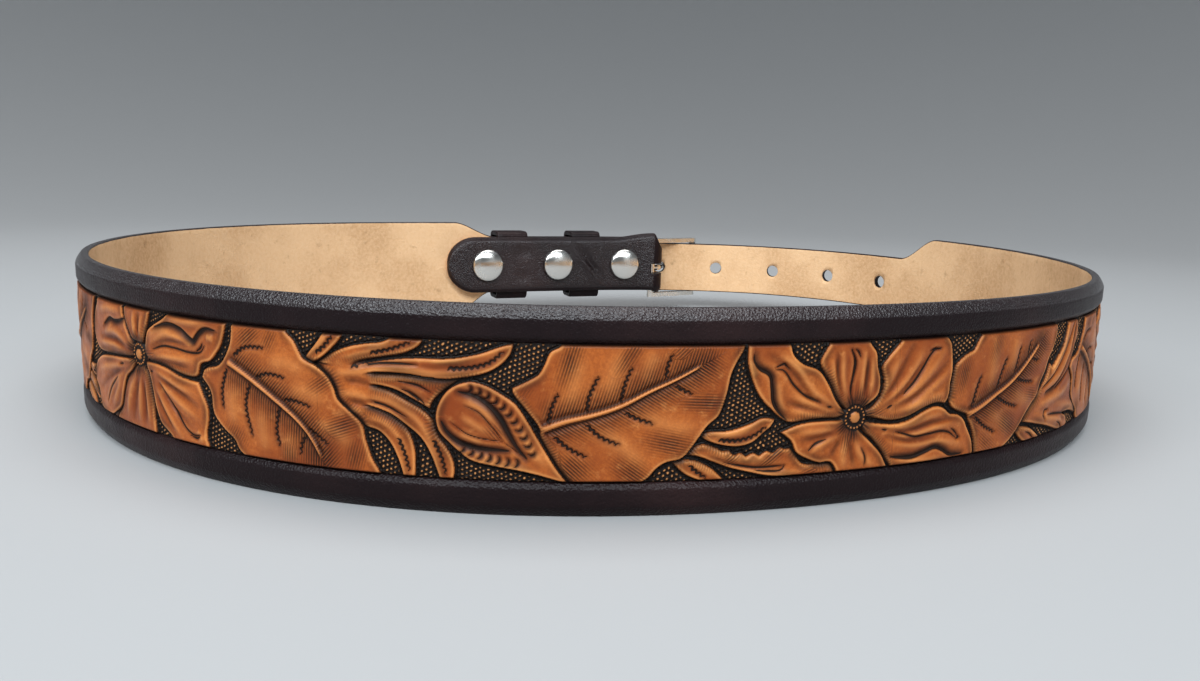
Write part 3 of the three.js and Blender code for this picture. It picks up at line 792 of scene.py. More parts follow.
# The carved pattern, back to front, as (along, up) from the middle of the front. A ridge has a width and
# a height. A patch of hatching has its middle, its half length and half width, its angle and its strength,
# and a rib's hatching has its side, its angle and its reach.
patternMotifs = {
    "middle leaf": [{
        "outline": [
            (-14.2, 16.1), (-16.5, 19.4), (-19.0, 22.6), (-19.2, 23.6), (-16.6, 24.9), (-14.6, 26.2),
            (-13.6, 28), (-12.6, 30.2), (-10.8, 31.3), (-10.4, 33), (22.9, 33), (22.5, 31.3), (21, 28.6),
            (20, 26.3), (19.4, 23), (18.7, 20.5), (17.9, 18.6), (16, 16.9), (14.6, 15), (13.1, 12.8),
            (11.3, 10.9), (8.5, 10.2), (6.9, 9.2), (5.4, 7.5), (3.7, 6.2), (3.2, 5), (-8.6, 5), (-9, 6.3),
            (-11, 9.4), (-12.9, 12.5), (-14.2, 15.2)],
        "rib": [(-14, 16.2), (-9.8, 17.8), (-5, 19), (0, 20.7), (5, 23.3), (10, 25.6), (14.4, 28)],
        "ribHatch": [(1, 74, 3.6), (-1, -31, 3.2)],
        "wavyCuts": [
            [(-12.7, 17.4), (-12.2, 20), (-11, 22.9)], [(-5.9, 19.6), (-5.7, 22), (-4, 26)],
            [(0, 21.3), (0.6, 24.5), (1.9, 27.8)], [(8, 25.8), (8.2, 28), (9.1, 30.1)],
            [(-11.6, 14.9), (-9, 12.8), (-5.7, 11.2)], [(-6, 17.2), (-3.5, 15), (0, 13.6)],
            [(0.8, 19.4), (2.8, 18.4), (5.9, 17.4)], [(9.7, 24.2), (11.2, 23.4), (13, 22.7)]],
        "patches": [
            (-9, 29, 5, 1.6, 74, 0.8), (1.5, 30, 4, 1.5, 60, 0.7), (11, 30, 3, 2.2, 45, 0.6),
            (15.5, 21.2, 4.5, 1.5, -3, 0.8), (9.5, 13.6, 4.5, 2, -12, 0.7),
            (2.5, 8.2, 3.6, 2.2, -35, 0.7), (-8.5, 9, 3.2, 3, -42, 0.8), (-17, 23.5, 2, 1.5, 60, 0.4)],
        "ridges": [
            [(-9, 19), (-8.5, 23), (-7.5, 30)], [(-2.5, 21), (-1.5, 26), (0, 31)],
            [(4, 24), (5, 28), (6, 31)], [(-4, 17), (2, 12), (5, 9)], [(3, 20), (9, 17), (15, 16.5)]],
        "ridge": (1.7, 0.17),
    }],
    "small scrolls": [{
        "outline": [
            (9.5, 10.3), (12, 10.7), (14, 10.5), (17, 9), (18.6, 7.6), (20.2, 6.0), (17.5, 5.8),
            (14.5, 6.8), (12, 8)],
        "wavyCuts": [[(12.8, 9.6), (14, 8.5), (16.2, 6.9)]],
        "ridges": [[(12, 10), (15.5, 8.8), (18, 7)]],
        "ridge": (0.6, 0.14),
    }, {
        "outline": [
            (13, 12.6), (15, 13.5), (18, 12.7), (19, 12.1), (20.2, 12.2), (21.2, 11.3), (22.6, 11.6),
            (23.6, 10.9), (25, 11.5), (26.2, 10.9), (27.6, 11.7), (29, 11.3), (30.3, 12.2), (31.4, 11.9),
            (32.3, 12), (33.5, 10.8), (35, 9), (38, 8.6), (41, 8.4), (42.5, 6.4), (38, 5.9), (34, 6.2),
            (31, 6.6), (28, 7), (24, 7.9), (20, 9), (17, 10.2), (14, 11.3), (11.5, 11.5)],
        "cuts": [
            [(19.5, 9.9), (22, 9.3), (25.8, 8.7), (31.3, 8.8)],
            [(31.4, 8.8), (30.9, 8.1), (28, 7.9), (25.4, 8.2)]],
        "ridges": [[(15, 12.6), (22, 10.6), (30, 10)], [(24, 8.1), (30, 7.5), (36, 7.6)]],
        "patches": [(21, 11, 3, 1.2, 42, 0.7), (29, 10.8, 4, 1.1, 38, 0.8), (37, 7.6, 2.4, 1.2, 20, 0.6)],
        "ridge": (0.7, 0.16),
    }, {
        "outline": [
            (14.2, 15.2), (16.5, 15.8), (20, 15.9), (24, 17), (26.5, 18), (29, 17.7), (28.2, 16.3),
            (27, 15.3), (24.6, 13.4), (22, 12.8), (18.6, 13.2), (16, 14.1)],
        "wavyCuts": [[(18.2, 14.1), (21.9, 13.9), (24.8, 14.6), (27.3, 16.3)]],
        "ridges": [[(16, 15), (21, 15.2), (26, 17)]],
        "ridge": (0.7, 0.15),
    }],
    "right flower": [{  # the upper right petal
        "outline": [
            (46.5, 17.3), (50.5, 16.6), (54, 15.8), (57.7, 16.1), (62.7, 17.8), (65.6, 18.4),
            (67.9, 18.1), (68.6, 19.5), (68.8, 22.1), (69.1, 24.4), (68.7, 28.2), (68.1, 30.3),
            (67.1, 31.6), (66.8, 33), (55.6, 33), (55.4, 31.5), (54, 29.9), (52.5, 28.3), (51.2, 26.5),
            (51.8, 24), (51.3, 21), (49.6, 18.9)],
        "cuts": [
            [(65.4, 29.4), (63.6, 28.9), (61.3, 25.8), (59.2, 23.1), (56.8, 20.9)],
            [(65.3, 29.2), (64, 29.3), (62.6, 29)], [(54.1, 18.9), (52.9, 18.3)]],
        "ridges": [
            [(50, 18.3), (55, 21.5), (59, 26), (61, 30.5)], [(50.5, 18), (57, 20), (63, 25), (67, 29.8)],
            [(52, 17.4), (59, 18.6), (64, 22), (68.6, 25)], [(51.5, 20), (53, 24), (55.5, 29)],
            [(57, 17.3), (62, 19), (68, 20.5)]],
        "valleys": [
            [(51, 18.3), (56, 21), (60.5, 26), (63, 28.7)], [(53, 18), (60, 20.5), (65, 24), (68, 27)],
            [(50.8, 19.5), (54, 22.5), (57, 27.5), (58.5, 31)]],
        "patches": [(50.5, 17.5, 2.6, 1.0, 25, 0.5)],
        "ridge": (1.0, 0.2),
    }, {  # the right petal
        "outline": [
            (47.5, 16.2), (50.3, 15.7), (55, 15.2), (58.5, 15.6), (62.7, 17.2), (65.4, 17.8),
            (67.5, 17.3), (69.6, 15.9), (71.9, 15.5), (73.6, 14.4), (74.9, 12.5), (76.1, 10.7),
            (76.8, 9.3), (77.2, 7.4), (77.3, 6.1), (70, 5.8), (60, 6), (55.5, 6.2), (54.6, 7.1),
            (52.4, 10), (50, 12.6), (48, 14.2)],
        "folds": [
            [(54.6, 8.6), (57, 8.2), (60, 8), (63.5, 8.7), (66.2, 9.3), (68.2, 8.6), (70.4, 7.4),
             (74, 7.2)]],
        "foldSide": 1,
        "cuts": [
            [(55.5, 13.5), (57.5, 13), (60.5, 12.1), (64, 12.3), (67.8, 12.5), (70, 11.9), (71.9, 10.5)],
            [(72.3, 10.9), (71.4, 12), (70, 12.9)], [(53.4, 14), (52.2, 14.3)],
            [(72, 10.5), (72.6, 10.7), (72.3, 11.2)]],
        "ridges": [
            [(50, 15), (57, 14.4), (63, 15.8), (68, 16.3)],
            [(52, 14.2), (58, 12.6), (65, 13.5), (71, 14)], [(54, 11.5), (60, 10.5), (66, 10.8), (74, 9)],
            [(56, 7.4), (63, 7.2), (69, 7.2)]],
        "valleys": [[(51, 14.7), (58, 13.4), (65, 14.6), (72, 15)], [(53, 13), (59, 11.5), (66, 11.6)]],
        "ridge": (0.8, 0.2),
    }, {  # the top petal
        "outline": [
            (44.2, 18.6), (41.7, 20.4), (40.2, 22.6), (39.1, 25), (37.5, 28), (38.4, 30), (39.2, 31.4),
            (39.3, 33), (48, 33), (48.2, 31.3), (49.7, 29.4), (50.2, 26.7), (51, 24.2), (50.8, 21.3),
            (49.2, 19.8), (47, 18.6)],
        "cuts": [
            [(43.9, 30.2), (44.9, 28.4), (44.8, 25.5), (44.4, 22.8), (44.7, 20.2)],
            [(44.7, 30.2), (45.4, 29.8), (46.1, 28.6)], [(44.1, 30.2), (45.1, 27.8), (44.9, 25)]],
        "ridges": [
            [(43.3, 20.5), (42.3, 25), (42.2, 30)], [(41.8, 21), (40.5, 25), (39.8, 29)],
            [(46.5, 20.5), (46.7, 26), (47, 30.5)], [(48.6, 20.8), (49, 25), (48.6, 29)]],
        "valleys": [[(42.6, 21), (41.4, 25.4), (41, 30)], [(47.6, 20.6), (47.8, 25), (47.9, 29)]],
        "patches": [(46.5, 20.6, 2, 2.2, 88, 0.7)],
        "ridge": (0.7, 0.18),
    }, {  # the upper left petal
        "outline": [
            (44, 17.8), (42.7, 19.1), (41.3, 20.8), (39.3, 24.2), (37.4, 26.4), (34, 27.8), (32, 29.5),
            (31.4, 31.2), (31.2, 33), (22.8, 33), (22.9, 31.3), (23, 28), (24, 25), (25.6, 22),
            (28, 19.5), (31.5, 17), (34, 16.9), (37.7, 17.3), (42, 17.2)],
        "folds": [
            [(31.2, 17.4), (29.3, 19.2), (28.3, 21), (27.9, 23.6), (27.4, 25.8), (25.2, 27.2),
             (24.2, 28.5), (24.1, 29.8)]],
        "foldSide": -1,
        "cuts": [
            [(28.4, 26.9), (30, 26.7), (32.2, 24), (34.8, 21.8), (38, 20.4)],
            [(28.5, 27.3), (30.2, 27.9), (31.3, 26.8)], [(40.6, 19.3), (39.3, 19.6)]],
        "ridges": [
            [(30.5, 18.5), (29.2, 22), (29, 25)], [(42, 18.6), (36, 23), (31, 29.5)],
            [(41.5, 18.4), (35, 20.5), (31.4, 22.6)], [(40, 18), (35, 18.6), (31.5, 19.5)],
            [(24.3, 25.4), (23.8, 29)], [(35, 25.5), (29, 30)]],
        "valleys": [
            [(41, 19), (36, 21.6), (32.6, 25.6), (27, 29.8)], [(40, 18.2), (34.5, 19.7), (30.6, 20.8)]],
        "ridge": (0.9, 0.22),
    }, {  # the lower petal
        "outline": [
            (43.8, 16.6), (42, 16.7), (37.7, 16.8), (34.2, 16.5), (30.2, 15.1), (32.5, 13.2),
            (33.6, 11.1), (35.8, 9.8), (38.5, 8.8), (41, 8.7), (42.3, 7.1), (42.6, 5.6), (54.8, 5.6),
            (53.5, 7.8), (52.5, 9.4), (50, 11.9), (47.8, 13.8), (46.5, 15)],
        "cuts": [[(36.1, 11.2), (37.3, 12.4), (39.6, 13.3)], [(47.6, 11.1), (48.6, 9.3), (48.7, 7.4)]],
        "ridges": [
            [(42, 15.2), (37, 15), (33, 15)], [(42.5, 14.5), (38, 12), (36, 10.6)],
            [(44, 13.6), (43.5, 10), (44, 7)], [(46, 13), (47.5, 10), (51, 7)]],
        "valleys": [
            [(43, 14.8), (38, 13.6), (34, 13.2)], [(43.4, 13.6), (41.5, 10.5), (41.4, 9)],
            [(45, 13.2), (45.6, 10), (46.5, 7)]],
        "patches": [(44.4, 13.2, 2.4, 1.6, 80, 0.7)],
        "ridge": (0.9, 0.2),
    }, {"centre": (45.9, 17)}],
    "right leaf": [{
        "outline": [
            (74.4, 15.2), (72, 16), (69.6, 17.4), (68.8, 18.8), (69.1, 21), (69.4, 23.5), (69.9, 25.5),
            (71.5, 26.9), (73.4, 27.9), (74.8, 28.4), (76, 30.2), (76.9, 31.4), (77, 33), (105.8, 33),
            (105.7, 31.3), (105.8, 29), (105, 26.7), (103, 24), (101.7, 21.3), (100, 19), (99, 16.5),
            (96.9, 14.8), (94.8, 12.8), (93.3, 11.1), (91.5, 9.4), (89.4, 7.8), (86.7, 6.2), (86, 5),
            (77.8, 5), (77.6, 8), (76.8, 11), (75.2, 13.8)],
        "rib": [
            (74.6, 15.3), (77.3, 16.1), (82.7, 18.4), (86, 19.8), (89.6, 21.7), (94.6, 25.3), (97.9, 28.1)],
        "ribHatch": [(1, 76, 3.0), (-1, -28, 3.6)],
        "wavyCuts": [
            [(75.9, 16.6), (76.6, 19.5), (77.9, 23)], [(83.3, 19.8), (84.3, 22.5), (85.9, 26)],
            [(89, 22.5), (89.7, 25), (90.6, 28)], [(93.7, 25.8), (94, 27.5), (94.5, 29)],
            [(77, 14.3), (80, 12.2), (84, 10.3)], [(83.5, 17.9), (87, 16.2), (91, 15)],
            [(90, 21), (93, 20.2), (96.5, 19.8)], [(95.5, 24.8), (97, 24.4), (98.5, 24.2)]],
        "patches": [
            (72.5, 23.6, 3.4, 1.6, 80, 0.7), (99, 27, 4, 1.5, -5, 0.6), (88, 11.8, 4, 2.2, -30, 0.8),
            (81, 8.4, 3.5, 2.2, -35, 0.5), (96.5, 17, 3, 1.6, -12, 0.5), (82, 28.5, 3.4, 1.7, 70, 0.5)],
        "ridges": [
            [(80.5, 19), (81, 24), (81.5, 30)], [(87, 22), (88, 26), (88.5, 30.5)],
            [(80, 15.6), (86, 12.5), (89, 9.5)], [(88, 19), (93, 16.6), (97, 16)]],
        "ridge": (1.6, 0.17),
    }],
    "right acanthus": [{
        "outline": [
            (91.2, 10.2), (94, 10.3), (97, 9.7), (100.5, 7.9), (103.5, 6.0), (99, 5.9), (95.5, 6.6),
            (93, 8.2)],
        "cuts": [[(95.5, 8.9), (97.5, 8.2), (99.8, 6.6)]],
        "ridges": [[(93, 9.6), (97, 8.9), (101, 6.9)]],
        "ridge": (0.6, 0.14),
    }, {
        "outline": [
            (104, 23), (102, 19.5), (99.5, 16.6), (97, 14.4), (93.2, 11.3), (97, 10.6), (101, 9.7),
            (106, 8.5), (111, 7), (116.5, 5.9), (117.6, 7.6), (116.4, 9.3), (114.3, 10.2), (118, 10.2),
            (123, 8.9), (128, 7), (133, 6), (139, 6.1), (133, 9.2), (128, 11.3), (122.6, 12.5),
            (119, 14.5), (117, 17.8), (116, 21.3), (117, 25), (118.6, 28), (118, 31.5), (117.8, 33),
            (111.8, 33), (111.9, 31), (110.4, 27), (107.5, 24), (105, 22)],
        "folds": [[(103, 16.5), (107.5, 17.8), (111.5, 21), (115, 26), (117, 30.8)]],
        "foldSide": -1,
        "cuts": [
            [(101, 17.5), (106, 20), (110.5, 23.5), (114, 28), (115.6, 31)],
            [(107.6, 16.6), (112, 18.6), (115.8, 21.2)],
            [(103.9, 10.3), (102.9, 11.4), (103.6, 12.4), (105.3, 12.5)],
            [(105, 11.3), (110, 10.8), (115, 10.1), (121, 9.3)],
            [(110.2, 8.9), (112.6, 8.1), (114.6, 6.5)]],
        "ridges": [
            [(101, 18.5), (106, 21.5), (110, 25.5), (112.6, 30)],
            [(103, 17.5), (109, 20), (113.5, 24.5), (116.5, 29)],
            [(99, 14), (106, 14.8), (113, 16), (116.4, 18)], [(100, 11.8), (108, 9.9), (115.6, 7.6)],
            [(108, 13), (116, 12), (124, 10.4), (132, 8)]],
        "ridge": (1.1, 0.26),
    }],
    "left leaf": [{
        "outline": [
            (-74, 33), (-61.7, 33), (-61.4, 31.2), (-59.9, 29.8), (-58.8, 28), (-58, 26.7), (-55.4, 25.5),
            (-53, 23.8), (-51.7, 21.7), (-51, 19.8), (-48.5, 17.6), (-46.3, 15.5), (-45.6, 12.8),
            (-44.4, 9.4), (-43, 6.9), (-42.6, 5), (-71, 5), (-71.5, 6.4), (-73, 7.6), (-74, 9.3),
            (-76.5, 11), (-78.5, 12.8), (-79.3, 14), (-79.9, 18), (-82.2, 20.5), (-81.2, 22.2),
            (-77.5, 23.4), (-75.6, 25.6), (-74.3, 28.4)],
        "rib": [(-75.2, 24.4), (-70, 21.9), (-63.8, 18.2), (-58.8, 14.6), (-56, 11.3), (-54.3, 8.2)],
        "ribHatch": [(1, 48, 3.4), (-1, 88, 3.6)],
        "wavyCuts": [
            [(-73.6, 25.5), (-71, 27.3), (-66.3, 27.7)], [(-68.5, 21.9), (-66, 22.9), (-61.8, 22.5)],
            [(-62.2, 18.5), (-60, 18.5), (-56.5, 17.7)], [(-57, 13.6), (-55.4, 12.6), (-53, 11)],
            [(-75.5, 22.9), (-76.8, 18.5), (-76.6, 15)], [(-70, 20.5), (-71, 16.7), (-69.6, 10.5)],
            [(-63.3, 17), (-64, 12.5), (-63.3, 9.5)], [(-57.5, 12.5), (-58.6, 10.5), (-58.9, 8.5)]],
        "patches": [
            (-70, 29.5, 3, 1.8, 40, 0.7), (-50, 15, 4, 2, 20, 0.7), (-65, 29.5, 2.4, 1.5, 62, 0.5),
            (-47.5, 9.5, 3, 2, 75, 0.6), (-61, 8.5, 2.4, 1.8, 85, 0.6), (-73.5, 10.6, 1.6, 2.6, 60, 0.5),
            (-54, 22.6, 3, 1.6, 35, 0.6)],
        "ridges": [
            [(-73, 20.5), (-74, 16), (-73, 12)], [(-67, 17), (-67, 13), (-66, 8)],
            [(-60.6, 13), (-61, 10), (-60.6, 7)], [(-66, 25.2), (-61.5, 25.5), (-57, 24)],
            [(-61.5, 20.5), (-57, 20.5), (-53, 19)], [(-55.5, 15), (-51, 13.6), (-48, 11)]],
        "ridge": (1.6, 0.17),
    }],
    "scroll leaves": [{  # the lowest two, curling down
        "outline": [
            (-48.5, 18.3), (-44.5, 19.1), (-40.6, 17.7), (-37.7, 15.2), (-36.5, 12.2), (-36.2, 9),
            (-36.5, 5.6), (-38.4, 5.6), (-39, 8), (-39.8, 10.2), (-41, 12.5), (-43, 14.5), (-46.4, 15.6)],
        "wavyCuts": [[(-39.4, 13.6), (-38.3, 10.8), (-37.5, 7.6)]],
        "ridges": [[(-46, 17.2), (-41.5, 16), (-38.8, 12.8), (-38, 8)]],
        "ridge": (0.7, 0.18),
    }, {
        "outline": [
            (-50, 21.8), (-46, 22.6), (-42, 22.3), (-38, 20.6), (-34.6, 18.7), (-32.9, 16.8),
            (-32.2, 14.5), (-30.6, 12.4), (-29.4, 10), (-29.2, 7.5), (-29.8, 5.6), (-31.6, 5.6),
            (-32.6, 8.5), (-33.6, 11), (-35.4, 13.9), (-38, 16), (-41, 17.9), (-45, 19.1), (-49, 19.3)],
        "wavyCuts": [[(-33, 13.6), (-31.6, 10.5), (-30.8, 7.2)]],
        "ridges": [[(-47, 21), (-41, 20.3), (-36, 17.3), (-33.4, 13.3), (-31.6, 8.5)]],
        "cuts": [[(-47, 20.2), (-42, 19.4), (-37.8, 17.4)]],
        "ridge": (0.8, 0.2),
    }, {  # the wedge with a fan of short cuts
        "outline": [
            (-51, 24), (-47, 24.9), (-40, 25.2), (-34, 25.2), (-28.4, 24.8), (-30.2, 23.2), (-32, 21.9),
            (-33.4, 20.2), (-33.6, 19.2), (-36, 20.4), (-40, 22.3), (-44, 23), (-49, 23)],
        "cuts": [
            [(-39.5, 23.9), (-36, 23.4), (-33.4, 22.2)], [(-37.6, 21.9), (-36.4, 21.2), (-35.7, 20.5)],
            [(-38.8, 22.5), (-37.2, 21.9), (-36, 21.2)], [(-36.8, 21.5), (-35.3, 20.7), (-34.6, 20)]],
        "ridges": [[(-48, 23.9), (-40, 24.4), (-31, 24.2)]],
        "ridge": (0.6, 0.16),
    }, {
        "outline": [
            (-55, 26.2), (-52, 28.2), (-48.6, 29.6), (-46, 30.2), (-41.5, 31.2), (-40.5, 32.4),
            (-35, 32.4), (-35.2, 31), (-38, 29.1), (-42, 28.1), (-46, 27.3), (-50, 26)],
        "wavyCuts": [[(-44.5, 28.6), (-40.8, 29.5), (-37, 31)]],
        "ridges": [[(-51, 27), (-45, 28.9), (-40, 30.6)]],
        "ridge": (0.6, 0.16),
    }, {
        "outline": [
            (-52.5, 24.8), (-47.5, 26.2), (-44, 27.1), (-38, 28.1), (-30, 28.5), (-25, 29.5),
            (-21.5, 30.8), (-18.9, 31.6), (-19.6, 29.4), (-22, 27), (-25, 25.7), (-30, 24.8), (-34, 24.9),
            (-38, 25.3), (-44, 25.2), (-49, 24.2)],
        "wavyCuts": [[(-30.4, 26.6), (-26, 27), (-23, 28), (-20.6, 30)]],
        "cuts": [[(-48, 25.8), (-43, 26.9), (-36, 27.1)]],
        "ridges": [[(-48, 25), (-40, 26.2), (-31, 25.8), (-24, 26.8)], [(-34, 27.8), (-27, 28.4)]],
        "ridge": (0.7, 0.2),
    }, {
        "outline": [
            (-57.6, 26.9), (-56.5, 28.2), (-55, 30), (-54, 31.6), (-53.8, 33), (-50.2, 33), (-50.2, 31.2),
            (-52, 29), (-54, 27.2), (-56, 26)],
        "wavyCuts": [[(-55.2, 27.8), (-53.3, 29.4), (-51.8, 31.4)]],
        "ridges": [[(-56, 27.6), (-53.8, 30), (-52.8, 31.6)]],
        "ridge": (0.5, 0.14),
    }, {  # the stem that they all leave, behind the left leaf
        "plain": True,
        "outline": [
            (-58, 25), (-55, 26.4), (-52, 27.7), (-49.5, 28.2), (-47, 27.5), (-45, 26.4), (-43.8, 25),
            (-43.4, 23), (-43.6, 20.8), (-44.2, 18.8), (-46, 16.8), (-47.6, 15.6), (-51, 15), (-55, 17),
            (-58, 21)],
        "wavyCuts": [[(-48.2, 25.9), (-45.8, 26.5), (-43.4, 27)]],
        "ridges": [
            [(-52, 24.6), (-48, 25), (-44, 25.8)], [(-51, 21), (-47, 21), (-43.6, 20)],
            [(-49.6, 18.3), (-46.6, 17.6), (-44.4, 17)]],
        "valleys": [[(-50, 23.4), (-47, 23.3), (-44, 22.8)], [(-49.4, 19.7), (-47, 19.5), (-44.4, 19)]],
        "ridge": (0.9, 0.16),
    }],
    "bud": [{
        "outline": [
            (-32.7, 18.2), (-31.9, 20.9), (-30.4, 22.9), (-28.6, 24), (-26.4, 24.5), (-24, 24),
            (-21, 22.5), (-18.5, 20.8), (-16.5, 18), (-14.6, 14.8), (-13, 12.2), (-11, 9), (-8.8, 6.2),
            (-12, 7.2), (-17, 8.5), (-22, 9.3), (-26.5, 10.3), (-28.6, 11.8), (-30.2, 13.2), (-32.2, 15.4)],
        "scallops": [
            [(-27.4, 23.4), (-24, 22.3), (-21, 20.3), (-18.6, 17.6), (-16.7, 14.5), (-15.2, 11.2)],
            [(-28.6, 12.6), (-25, 11.4), (-21, 10.4), (-17, 9.9)]],
        "gouges": [
            [(-28.6, 22.6), (-25.6, 21.9), (-23, 20.2), (-21, 17.8), (-19.5, 15), (-18.2, 12.9),
             (-16.4, 10.8)],
            [(-31.7, 17.2), (-30.6, 15.2), (-28.2, 13.4), (-25, 12.5), (-21.6, 12.3), (-19.6, 12.2)]],
        "cuts": [
            [(-30, 17.1), (-27.5, 15.4), (-25, 14.5), (-20.6, 13.9)],
            [(-27.4, 20.1), (-25, 19.1), (-23, 17), (-20.6, 13.9)],
            [(-20.6, 13.9), (-18.6, 12.4), (-16.4, 10.8)]],
        "cutKind": "fine cuts",
        "ridges": [
            [(-28.4, 18.6), (-25.8, 17), (-22.8, 15.2)], [(-28, 21.2), (-24.6, 19.6), (-22, 16.8)],
            [(-28.5, 15.6), (-24, 13.6)], [(-18, 17.4), (-15.6, 12.8), (-12.5, 9)],
            [(-26, 11), (-19, 9.4), (-13.5, 8)]],
        "patches": [(-21.8, 15.4, 2, 1.6, -50, 0.5)],
        "ridge": (0.9, 0.2),
    }],
    "left flower": [{  # the top petal
        "outline": [
            (-104, 24.5), (-106.5, 25.4), (-108.8, 28.6), (-108.6, 31), (-108.4, 33), (-98.2, 33),
            (-98.4, 31), (-98.8, 29.8), (-100, 27), (-101.5, 24.6)],
        "ridges": [
            [(-103.8, 25.4), (-104.4, 28.5), (-104, 31)], [(-102, 25.4), (-101.4, 28.4), (-100.6, 30.5)]],
        "valleys": [[(-103, 25.4), (-103, 28.5), (-102.4, 31)]],
        "ridge": (0.7, 0.2),
    }, {  # the bottom petal
        "outline": [
            (-102.5, 20), (-105.2, 19.3), (-108.8, 16.5), (-110.9, 13), (-112.4, 9.9), (-114, 8.2),
            (-115, 6), (-114, 5.4), (-97.6, 5.4), (-97.8, 9.5), (-98.1, 14), (-99.4, 18.4), (-100.6, 19.6)],
        "ridges": [
            [(-104, 18), (-107, 14), (-109, 8)], [(-102.4, 17.6), (-103, 13), (-103.4, 8)],
            [(-100.6, 17.6), (-99.8, 13), (-99.6, 8)]],
        "valleys": [
            [(-103.3, 17.8), (-105.2, 13), (-106.4, 8)], [(-101.6, 17.6), (-101.2, 13), (-101.4, 8)]],
        "ridge": (0.9, 0.22),
    }, {  # the upper right petal
        "outline": [
            (-101, 22.8), (-100, 25.4), (-99.2, 27.4), (-96.6, 29.1), (-93.8, 30.4), (-92.2, 31.6),
            (-92, 33), (-75.2, 33), (-75.4, 31.2), (-75.8, 29.5), (-76.8, 27), (-78.4, 25), (-79.6, 23.9),
            (-82.3, 22.9), (-83.3, 20.6), (-86, 20), (-90, 20.4), (-95, 21), (-98.5, 21.2)],
        "folds": [
            [(-78, 29.7), (-80.8, 29.9), (-82.5, 29), (-84.2, 27.2), (-85.6, 27.9), (-88, 29.2),
             (-92, 29.7), (-96.4, 28.5)]],
        "foldSide": 1,
        "cuts": [
            [(-97.5, 23.9), (-94, 25), (-90, 25.1), (-85, 24.8), (-82.4, 25.2), (-81, 26.6)],
            [(-83.4, 25.3), (-82.3, 26), (-81.6, 27)]],
        "ridges": [
            [(-98.5, 25), (-93, 27.4), (-87, 27.2), (-84, 26.2)], [(-97, 22.6), (-90, 23.2), (-83, 23.2)],
            [(-80.5, 28.4), (-78.2, 28.4)], [(-92, 31), (-86, 30.6), (-80, 31)],
            [(-99, 26), (-95, 28.2), (-90, 28.4)]],
        "valleys": [[(-98, 24.4), (-92, 26.2), (-86, 26)], [(-97, 22), (-90, 21.8), (-85, 21.6)]],
        "patches": [(-98.6, 22.6, 2, 1, 10, 0.5)],
        "ridge": (0.8, 0.24),
    }, {  # the lower right petal
        "outline": [
            (-100.6, 21), (-98, 21.2), (-93, 20.8), (-89, 19.8), (-85.6, 19.4), (-83.2, 19.3), (-82, 17),
            (-80.8, 14.6), (-80.8, 12), (-81.4, 9), (-80.8, 6.6), (-81, 5.6), (-91, 5.6), (-92, 7),
            (-93.6, 8), (-95.6, 9.2), (-97.2, 12), (-98, 15), (-99, 18.4)],
        "cuts": [
            [(-95.5, 17.4), (-92, 14), (-89, 11), (-87, 9.2), (-85, 8.5), (-83, 8.9)],
            [(-83.2, 8.6), (-84.4, 8), (-86.2, 8.3)], [(-98.8, 19.2), (-97.8, 19.4)]],
        "ridges": [
            [(-97.5, 19.8), (-91, 18.2), (-84, 16.6)], [(-96.5, 18.4), (-90, 15), (-83, 11.8)],
            [(-97, 16.5), (-93, 12), (-88, 7.2)], [(-84, 9.8), (-82, 7.4)]],
        "valleys": [
            [(-96.5, 19), (-90, 16.8), (-83.4, 14.4)], [(-96, 17.6), (-91, 13), (-86, 10.4)],
            [(-97, 15.6), (-94, 11.4), (-91, 8)]],
        "ridge": (0.8, 0.2),
    }, {  # the upper left petal
        "outline": [
            (-105.6, 21.3), (-105.4, 23.2), (-106.8, 25.2), (-109, 28.4), (-109.6, 31), (-109.6, 33),
            (-123.8, 33), (-124, 31), (-126, 28.4), (-127.4, 25), (-127, 22.4), (-124, 20.2),
            (-118, 20.1), (-112, 20.4)],
        "folds": [[(-108.8, 28.8), (-111.4, 28), (-114, 27.7), (-116.4, 27.9), (-120, 26.2)]],
        "foldSide": 1,
        "ridges": [
            [(-107, 23.4), (-113, 25.4), (-120, 24.6)], [(-108, 22), (-115, 22.6), (-124, 22)],
            [(-110, 30), (-117, 30), (-123, 29)]],
        "valleys": [[(-107.4, 22.6), (-114, 23.8), (-122, 23.2)]],
        "ridge": (0.9, 0.24),
    }, {  # the lower left petal
        "outline": [
            (-105.4, 20.8), (-112, 20.3), (-118, 19.7), (-124, 18.6), (-128, 16), (-129, 12.6),
            (-126.5, 10.6), (-125.4, 7.6), (-122.5, 6.4), (-119, 6.5), (-115.2, 8.1), (-112.6, 9.7),
            (-111, 13), (-109, 16.5), (-105.4, 19.4)],
        "cuts": [[(-111.8, 18.9), (-110, 19.2)], [(-113, 16), (-117, 13), (-120, 9.5)]],
        "ridges": [
            [(-109, 19), (-117, 17.6), (-125, 15.6)], [(-109.6, 17.8), (-116, 13.8), (-121, 8.4)],
            [(-111, 16.4), (-113.6, 12.6), (-116.4, 9.4)]],
        "valleys": [[(-109, 18.4), (-116.5, 15.8), (-124, 12)]],
        "ridge": (0.9, 0.22),
    }, {"centre": (-103.3, 22.1)}],
}

# How far each run of the pattern is moved along the belt, so that it goes on round the back
patternPlan = (
    (-447.6, ("right flower", "right leaf")),
    (-298.4, ("scroll leaves", "small scrolls", "middle leaf", "bud")),
    (-149.2, ("scroll leaves", "left leaf")),
    (-298.4, ("right flower",)),
    (-149.2, ("small scrolls", "middle leaf", "bud")),
    (0, ("right acanthus", "scroll leaves", "left leaf", "left flower", "small scrolls", "middle leaf",
         "bud", "right leaf", "right flower")),
    (198, ("scroll leaves", "left leaf", "small scrolls", "middle leaf", "bud", "right leaf",
           "right flower")),
)

